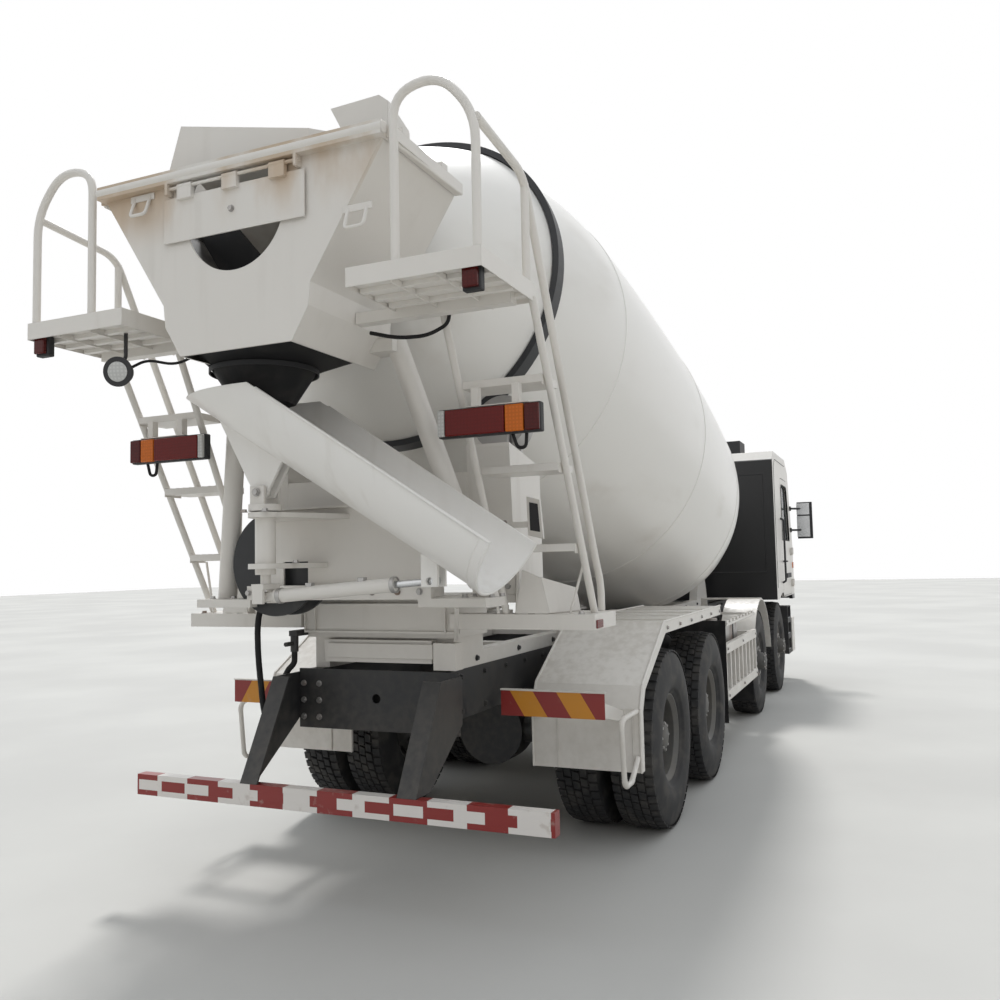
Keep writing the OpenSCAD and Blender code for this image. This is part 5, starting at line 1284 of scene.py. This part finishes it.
flaps.block((1.30, 0.87, 0.22), (1.308, 1.17, 0.66)).block((1.295, 0.86, 0.64), (1.315, 1.18, 0.69))
flaps.block((-0.500, 0.64, 0.30), (-0.492, 1.22, 1.15))
flaps.both_sides().done("mud_flaps", soft_rubber, "chassis", 0.002, slot="rubber")
fender_rims = Shape()
for x0, z0, x1, z1 in ((-0.8475, 1.297, -2.7775, 1.297), (-2.7775, 1.297, -3.3325, 0.985),
                       (-3.3325, 0.985, -3.396, 0.860), (-3.396, 0.860, -3.396, 0.516)):
    for y in (0.612, 1.243):
        fender_rims.tube([(x0, y, z0), (x1, y, z1)], 0.007, 8)
for y in (0.76, 1.20):
    fender_rims.tube([(-3.3965, y, 0.52), (-3.3965, y, 0.86)], 0.004, 6)
fender_rims.block((-3.822, 0.598, 1.000), (-3.795, 1.178, 1.008))
for x in np.arange(-2.6, -1.0, 0.40):
    fender_rims.tube([(x, 0.62, 1.2965), (x, 1.24, 1.2965)], 0.005, 6)
fender_rims.both_sides().done("fender_rims", white_paint, "chassis", slot="white_paint")
side_parts = Shape()
for x0 in np.arange(-0.40, 1.20, 0.186):
    side_parts.block((x0, 1.190, 1.120), (x0 + 0.10, 1.215, 1.146))
side_parts.block((-0.44, 1.185, 1.100), (1.25, 1.220, 1.122)).block((-0.44, 0.70, 1.100),
    (-0.40, 1.22, 1.122)).block((1.21, 0.70, 1.100), (1.25, 1.22, 1.122))
side_parts.tube([(-0.42, 0.72, 1.10), (-0.42, 0.44, 1.05)], 0.016).tube([(1.23, 0.72, 1.10),
    (1.23, 0.44, 1.05)], 0.016)
side_parts.both_sides().done("walkways", white_paint, "chassis", 0.0015, slot="white_paint")
guards = []
for s in (1, -1):
    guards += [((x, s * 1.2205, z), (0, s, 0)) for x in (-0.42, 0.40, 1.22) for z in (0.52, 0.91)]
    guards += [((x, s * 1.2455, 1.255), (0, s, 0)) for x in np.arange(-2.7, -0.9, 0.36)]
repeated("guard_bolts", bolt, guards, worn_steel, "chassis", 0.8)
print("chassis bolts", len(chassis_bolts) + len(guards))

# %% [markdown]
# ## Cab
# Glass and seals in the doors, handles, mirror glasses, wipers, grille bars, headlamps, marker lamps and
# a blank number plate. What belongs to a door turns with it.

# %% Doors
FRONT_X, CAB_Y = 5.1725, 1.220
for word, side in SIDES.items():
    body = word + "_door"
    window = [(3.9725, 1.900), (3.9725, 2.570), (4.0325, 2.620), (4.5525, 2.620), (4.6225, 2.560),
              (4.7625, 1.960), (4.7625, 1.900)]
    y = side * (CAB_Y - 0.026)
    Shape().plate([(x, y, z) for x, z in window], (0, side * 0.006, 0)).done(word + "_window", window_glass,
        body, slot="glass")
    seal = Shape().tube([(x, side * (CAB_Y - 0.004), z) for x, z in window], 0.011, 8, closed=True)
    edge = [(3.8825, 1.180), (3.8825, 2.610), (3.9725, 2.700), (4.5825, 2.700), (4.6925, 2.610),
            (4.8425, 2.000), (4.8425, 1.180)]
    seal.tube([(x, side * (CAB_Y - 0.006), z) for x, z in edge], 0.006, 8, closed=True)
    seal.done(word + "_door_seals", soft_rubber, body, slot="rubber")
    grip = Shape().tube(round_path([(3.95, side * (CAB_Y + 0.002), 1.62),
                                    (3.95, side * (CAB_Y + 0.038), 1.62),
                                    (4.10, side * (CAB_Y + 0.038), 1.62),
                                    (4.10, side * (CAB_Y + 0.002), 1.62)], 0.02), 0.011, 10)
    grip.revolve([(ON_AXIS, 0.008), (0.016, 0.007), (0.018, 0), (ON_AXIS, 0)], 20,
                 axis_frame((4.15, side * CAB_Y, 1.62), (0, side, 0)))
    grip.block((4.30, min(side * CAB_Y, side * (CAB_Y + 0.012)), 1.40),
               (4.78, max(side * CAB_Y, side * (CAB_Y + 0.012)), 1.46))
    grip.done(word + "_door_handle", trim, body, 0.002, slot="trim")
    inner = Shape().block((3.98, min(side * 1.166, side * 1.174), 1.26),
                          (4.76, max(side * 1.166, side * 1.174), 1.84))
    inner.tube(round_path([(4.1, side * 1.166, 1.62), (4.1, side * 1.13, 1.62), (4.5, side * 1.13, 1.66),
                           (4.5, side * 1.166, 1.66)], 0.03), 0.013, 10)
    inner.done(word + "_door_lining", trim, body, 0.004, slot="trim")
    side_glass = Shape().block((5.0685, side * 1.39 - 0.085, 1.955), (5.0715, side * 1.39 + 0.085, 2.245))
    side_glass.block((5.0685, side * 1.39 - 0.085, 2.265), (5.0715, side * 1.39 + 0.085, 2.425))
    side_glass.done(word + "_mirror_glass", bright_steel, "cab", slot="steel")

# %% Front of the cab
grille = Shape()
for z in np.arange(1.20, 1.70, 0.062):
    grille.plate([(FRONT_X + 0.030, -0.88, z), (FRONT_X + 0.030, 0.88, z),
                  (FRONT_X + 0.052, 0.86, z + 0.012), (FRONT_X + 0.052, -0.86, z + 0.012)], (0, 0, 0.020))
for y in (-0.885, -0.30, 0.285, 0.870):
    grille.block((FRONT_X + 0.028, y, 1.185), (FRONT_X + 0.046, y + 0.015, 1.715))
grille.done("grille_bars", trim, "cab", 0.002, slot="trim")
wipers = Shape()
for y in (-0.55, 0.25):
    wipers.tube([(FRONT_X + 0.005, y, 1.86), (FRONT_X - 0.040, y + 0.20, 1.98),
                 (FRONT_X - 0.115, y + 0.42, 2.22)], 0.008, 8)
    wipers.tube([(FRONT_X - 0.035, y + 0.10, 1.93), (FRONT_X - 0.185, y + 0.60, 2.44)], 0.006, 6)
    wipers.revolve([(ON_AXIS, 0.02), (0.024, 0.016), (0.028, 0), (ON_AXIS, 0)], 24,
                   axis_frame((FRONT_X - 0.002, y, 1.86), (1, 0, 0)))
wipers.done("wipers", trim, "cab", slot="trim")
screen = [(FRONT_X - 0.055, -1.0, 1.90), (FRONT_X - 0.055, 1.0, 1.90), (FRONT_X - 0.283, 1.0, 2.62),
          (FRONT_X - 0.283, -1.0, 2.62)]
seal = Shape().tube([(x + 0.018, y, z) for x, y, z in screen], 0.014, 8, closed=True)
seal.done("screen_seal", soft_rubber, "cab", slot="rubber")
visor = Shape().plate([(FRONT_X - 0.300, -1.10, 2.66), (FRONT_X - 0.300, 1.10, 2.66),
                       (FRONT_X - 0.020, 1.06, 2.60), (FRONT_X - 0.020, -1.06, 2.60)], (0, 0, 0.010))
visor.done("sun_visor", trim, "cab", 0.002, slot="trim")
markers = Shape()
for y in (-0.95, -0.48, 0.0, 0.48, 0.95):
    markers.block((FRONT_X - 0.48, y - 0.05, 2.918), (FRONT_X - 0.42, y + 0.05, 2.945))
markers.done("roof_markers", amber_lens, "cab", 0.006, slot="lamp")
indicators = Shape().block((FRONT_X - 0.16, 1.219, 1.52), (FRONT_X - 0.02, 1.230, 1.60)).both_sides()
indicators.done("side_indicators", amber_lens, "cab", 0.004, slot="lamp")
lines = Shape()
for z in (1.76, 1.16):
    lines.tube([(FRONT_X + 0.0005, -1.18, z), (FRONT_X + 0.0005, 1.18, z)], 0.0035, 6)
lines.tube([(3.30, 1.2205, 1.30), (3.30, 1.2205, 2.80), (3.44, 1.2205, 2.90), (4.50, 1.2205, 2.90)], 0.004,
           6)
lines.tube([(3.1925 - 0.0005, -1.10, 1.50), (3.1925 - 0.0005, 1.10, 1.50), (3.1925 - 0.0005, 1.10, 2.70),
            (3.1925 - 0.0005, -1.10, 2.70)], 0.006, 6, closed=True)
lines.both_sides().done("cab_seams", trim, "cab", slot="trim")
rails = Shape()
rails.tube(round_path([(3.80, 1.222, 1.35), (3.80, 1.262, 1.37), (3.80, 1.262, 2.15), (3.80, 1.222, 2.17)],
                      0.02),
           0.013, 10)
rails.both_sides().done("grab_rails", trim, "cab", slot="trim")

# %% Bumper lamps, plate and steps
lamp_glass, lamp_back = Shape(), Shape()
lamp_back.block((5.2650, 0.60, 0.64), (5.2735, 0.88, 0.81))
lamp_glass.block((5.2700, 0.62, 0.655), (5.2790, 0.86, 0.795))
lamp_back.both_sides().done("headlamp_frames", trim, "chassis", 0.004, slot="trim")
lamp_glass.both_sides().done("headlamps", clear_lens, "chassis", 0.006, slot="lamp")
Shape().block((5.2700, 0.52, 0.70), (5.2775, 0.59, 0.78)).both_sides().done("turn_lamps", amber_lens,
    "chassis", 0.004, slot="lamp")
Shape().block((5.2715, -0.24, 0.575), (5.2755, 0.24, 0.700)).done("blank_plate", white_paint, "chassis",
    0.003, slot="white_paint")
front_bars = Shape()
for z in (0.455, 0.490, 0.525):
    front_bars.block((5.215, -0.45, z), (5.250, 0.45, z + 0.012))
front_bars.done("bumper_bars", trim, "chassis", 0.002, slot="trim")
repeated("bumper_bolts", bolt, [((5.2730, y, 0.42), (1, 0, 0)) for y in (-0.8, -0.5, 0.5, 0.8)], worn_steel,
         "chassis")
ribs = Shape()
for z in (0.432, 0.642, 0.852):
    for x in np.arange(4.52, 4.80, 0.035):
        ribs.block((x, 0.95, z - 0.002), (x + 0.012, 1.185, z + 0.004))
ribs.both_sides().done("step_ribs", bright_steel, "chassis", 0.001, slot="steel")
print("cab details done")

# %% [markdown]
# ## Stage and light
# The floor is plain pale concrete. The sky is bright and even, and a soft sun stands high beyond the
# truck, so its shadow falls towards the camera as on a hazy day.

# %% Floor, sky and lamps
def floor_finish():
    f = Finish("floor_concrete", (0.50, 0.49, 0.465), 0.85)
    cloud = f.noise(0.35, detail=6)
    f.feed(Base_Color=f.mix(f.soft(cloud, 0.35, 0.7), (0.48, 0.47, 0.445), (0.54, 0.53, 0.50)),
           Roughness=cloud * 0.1 + 0.8)
    return f


ground = Shape().add([(-60, -60, -0.001), (60, -60, -0.001), (60, 60, -0.001), (-60, 60, -0.001)],
                     [[0, 1, 2, 3]])
floor_obj = make("floor", ground.verts, ground.faces, floor_finish(), 0)
floor_obj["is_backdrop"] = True

world = bpy.data.worlds.new("sky")
bpy.context.scene.world = world
world.use_nodes = True
tree = world.node_tree
tree.nodes.clear()
add, join = tree.nodes.new, tree.links.new
end = add("ShaderNodeOutputWorld")
path = add("ShaderNodeLightPath")
seen = add("ShaderNodeMath")
seen.operation = "MAXIMUM"
seen_2 = add("ShaderNodeMath")
seen_2.operation = "MAXIMUM"
join(path.outputs["Is Camera Ray"], seen.inputs[0])
join(path.outputs["Is Glossy Ray"], seen.inputs[1])
join(seen.outputs[0], seen_2.inputs[0])
join(path.outputs["Is Transmission Ray"], seen_2.inputs[1])
light_sky, white_sky = add("ShaderNodeBackground"), add("ShaderNodeBackground")
heading = add("ShaderNodeTexCoord")
split = add("ShaderNodeSeparateXYZ")
join(heading.outputs["Generated"], split.inputs[0])
sky_mix = add("ShaderNodeMix")
sky_mix.data_type = "RGBA"
join(split.outputs[2], sky_mix.inputs[0])
sky_mix.inputs[6].default_value, sky_mix.inputs[7].default_value = (0.21, 0.20, 0.185, 1), (1.2, 1.27, 1.35,
    1)
join(sky_mix.outputs[2], light_sky.inputs[0])
light_sky.inputs[1].default_value = 0.95
white_sky.inputs[0].default_value, white_sky.inputs[1].default_value = (1.0, 1.0, 1.0, 1), 1.0
choose = add("ShaderNodeMixShader")
join(seen_2.outputs[0], choose.inputs[0])
join(light_sky.outputs[0], choose.inputs[1])
join(white_sky.outputs[0], choose.inputs[2])
join(choose.outputs[0], end.inputs[0])


def lamp(name, kind, place, target, power, size):
    data = bpy.data.lights.new(name, kind)
    data.energy = power
    obj = bpy.data.objects.new(name, data)
    bpy.context.scene.collection.objects.link(obj)
    obj.matrix_world = Matrix.Translation(place) @ (Vector(target) - Vector(place)).to_track_quat("-Z",
        "Y").to_matrix().to_4x4()
    if kind == "SUN":
        data.angle = size
    else:
        data.size = size


lamp("sun", "SUN", (9, 3.5, 13), (0, 0, 0), 2.1, radians(9))
lamp("fill", "AREA", (-13, -9, 7), (-3, 0, 2), 90, 7)

# %% [markdown]
# ## Closing
# The masters are only patterns for the repeats, so they go. The size of what is left is printed at the end.

# %% Sizes and finish
for obj in masters:
    bpy.data.objects.remove(obj)
low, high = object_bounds()
print("visual", [round(v, 3) for v in low], [round(v, 3) for v in high])
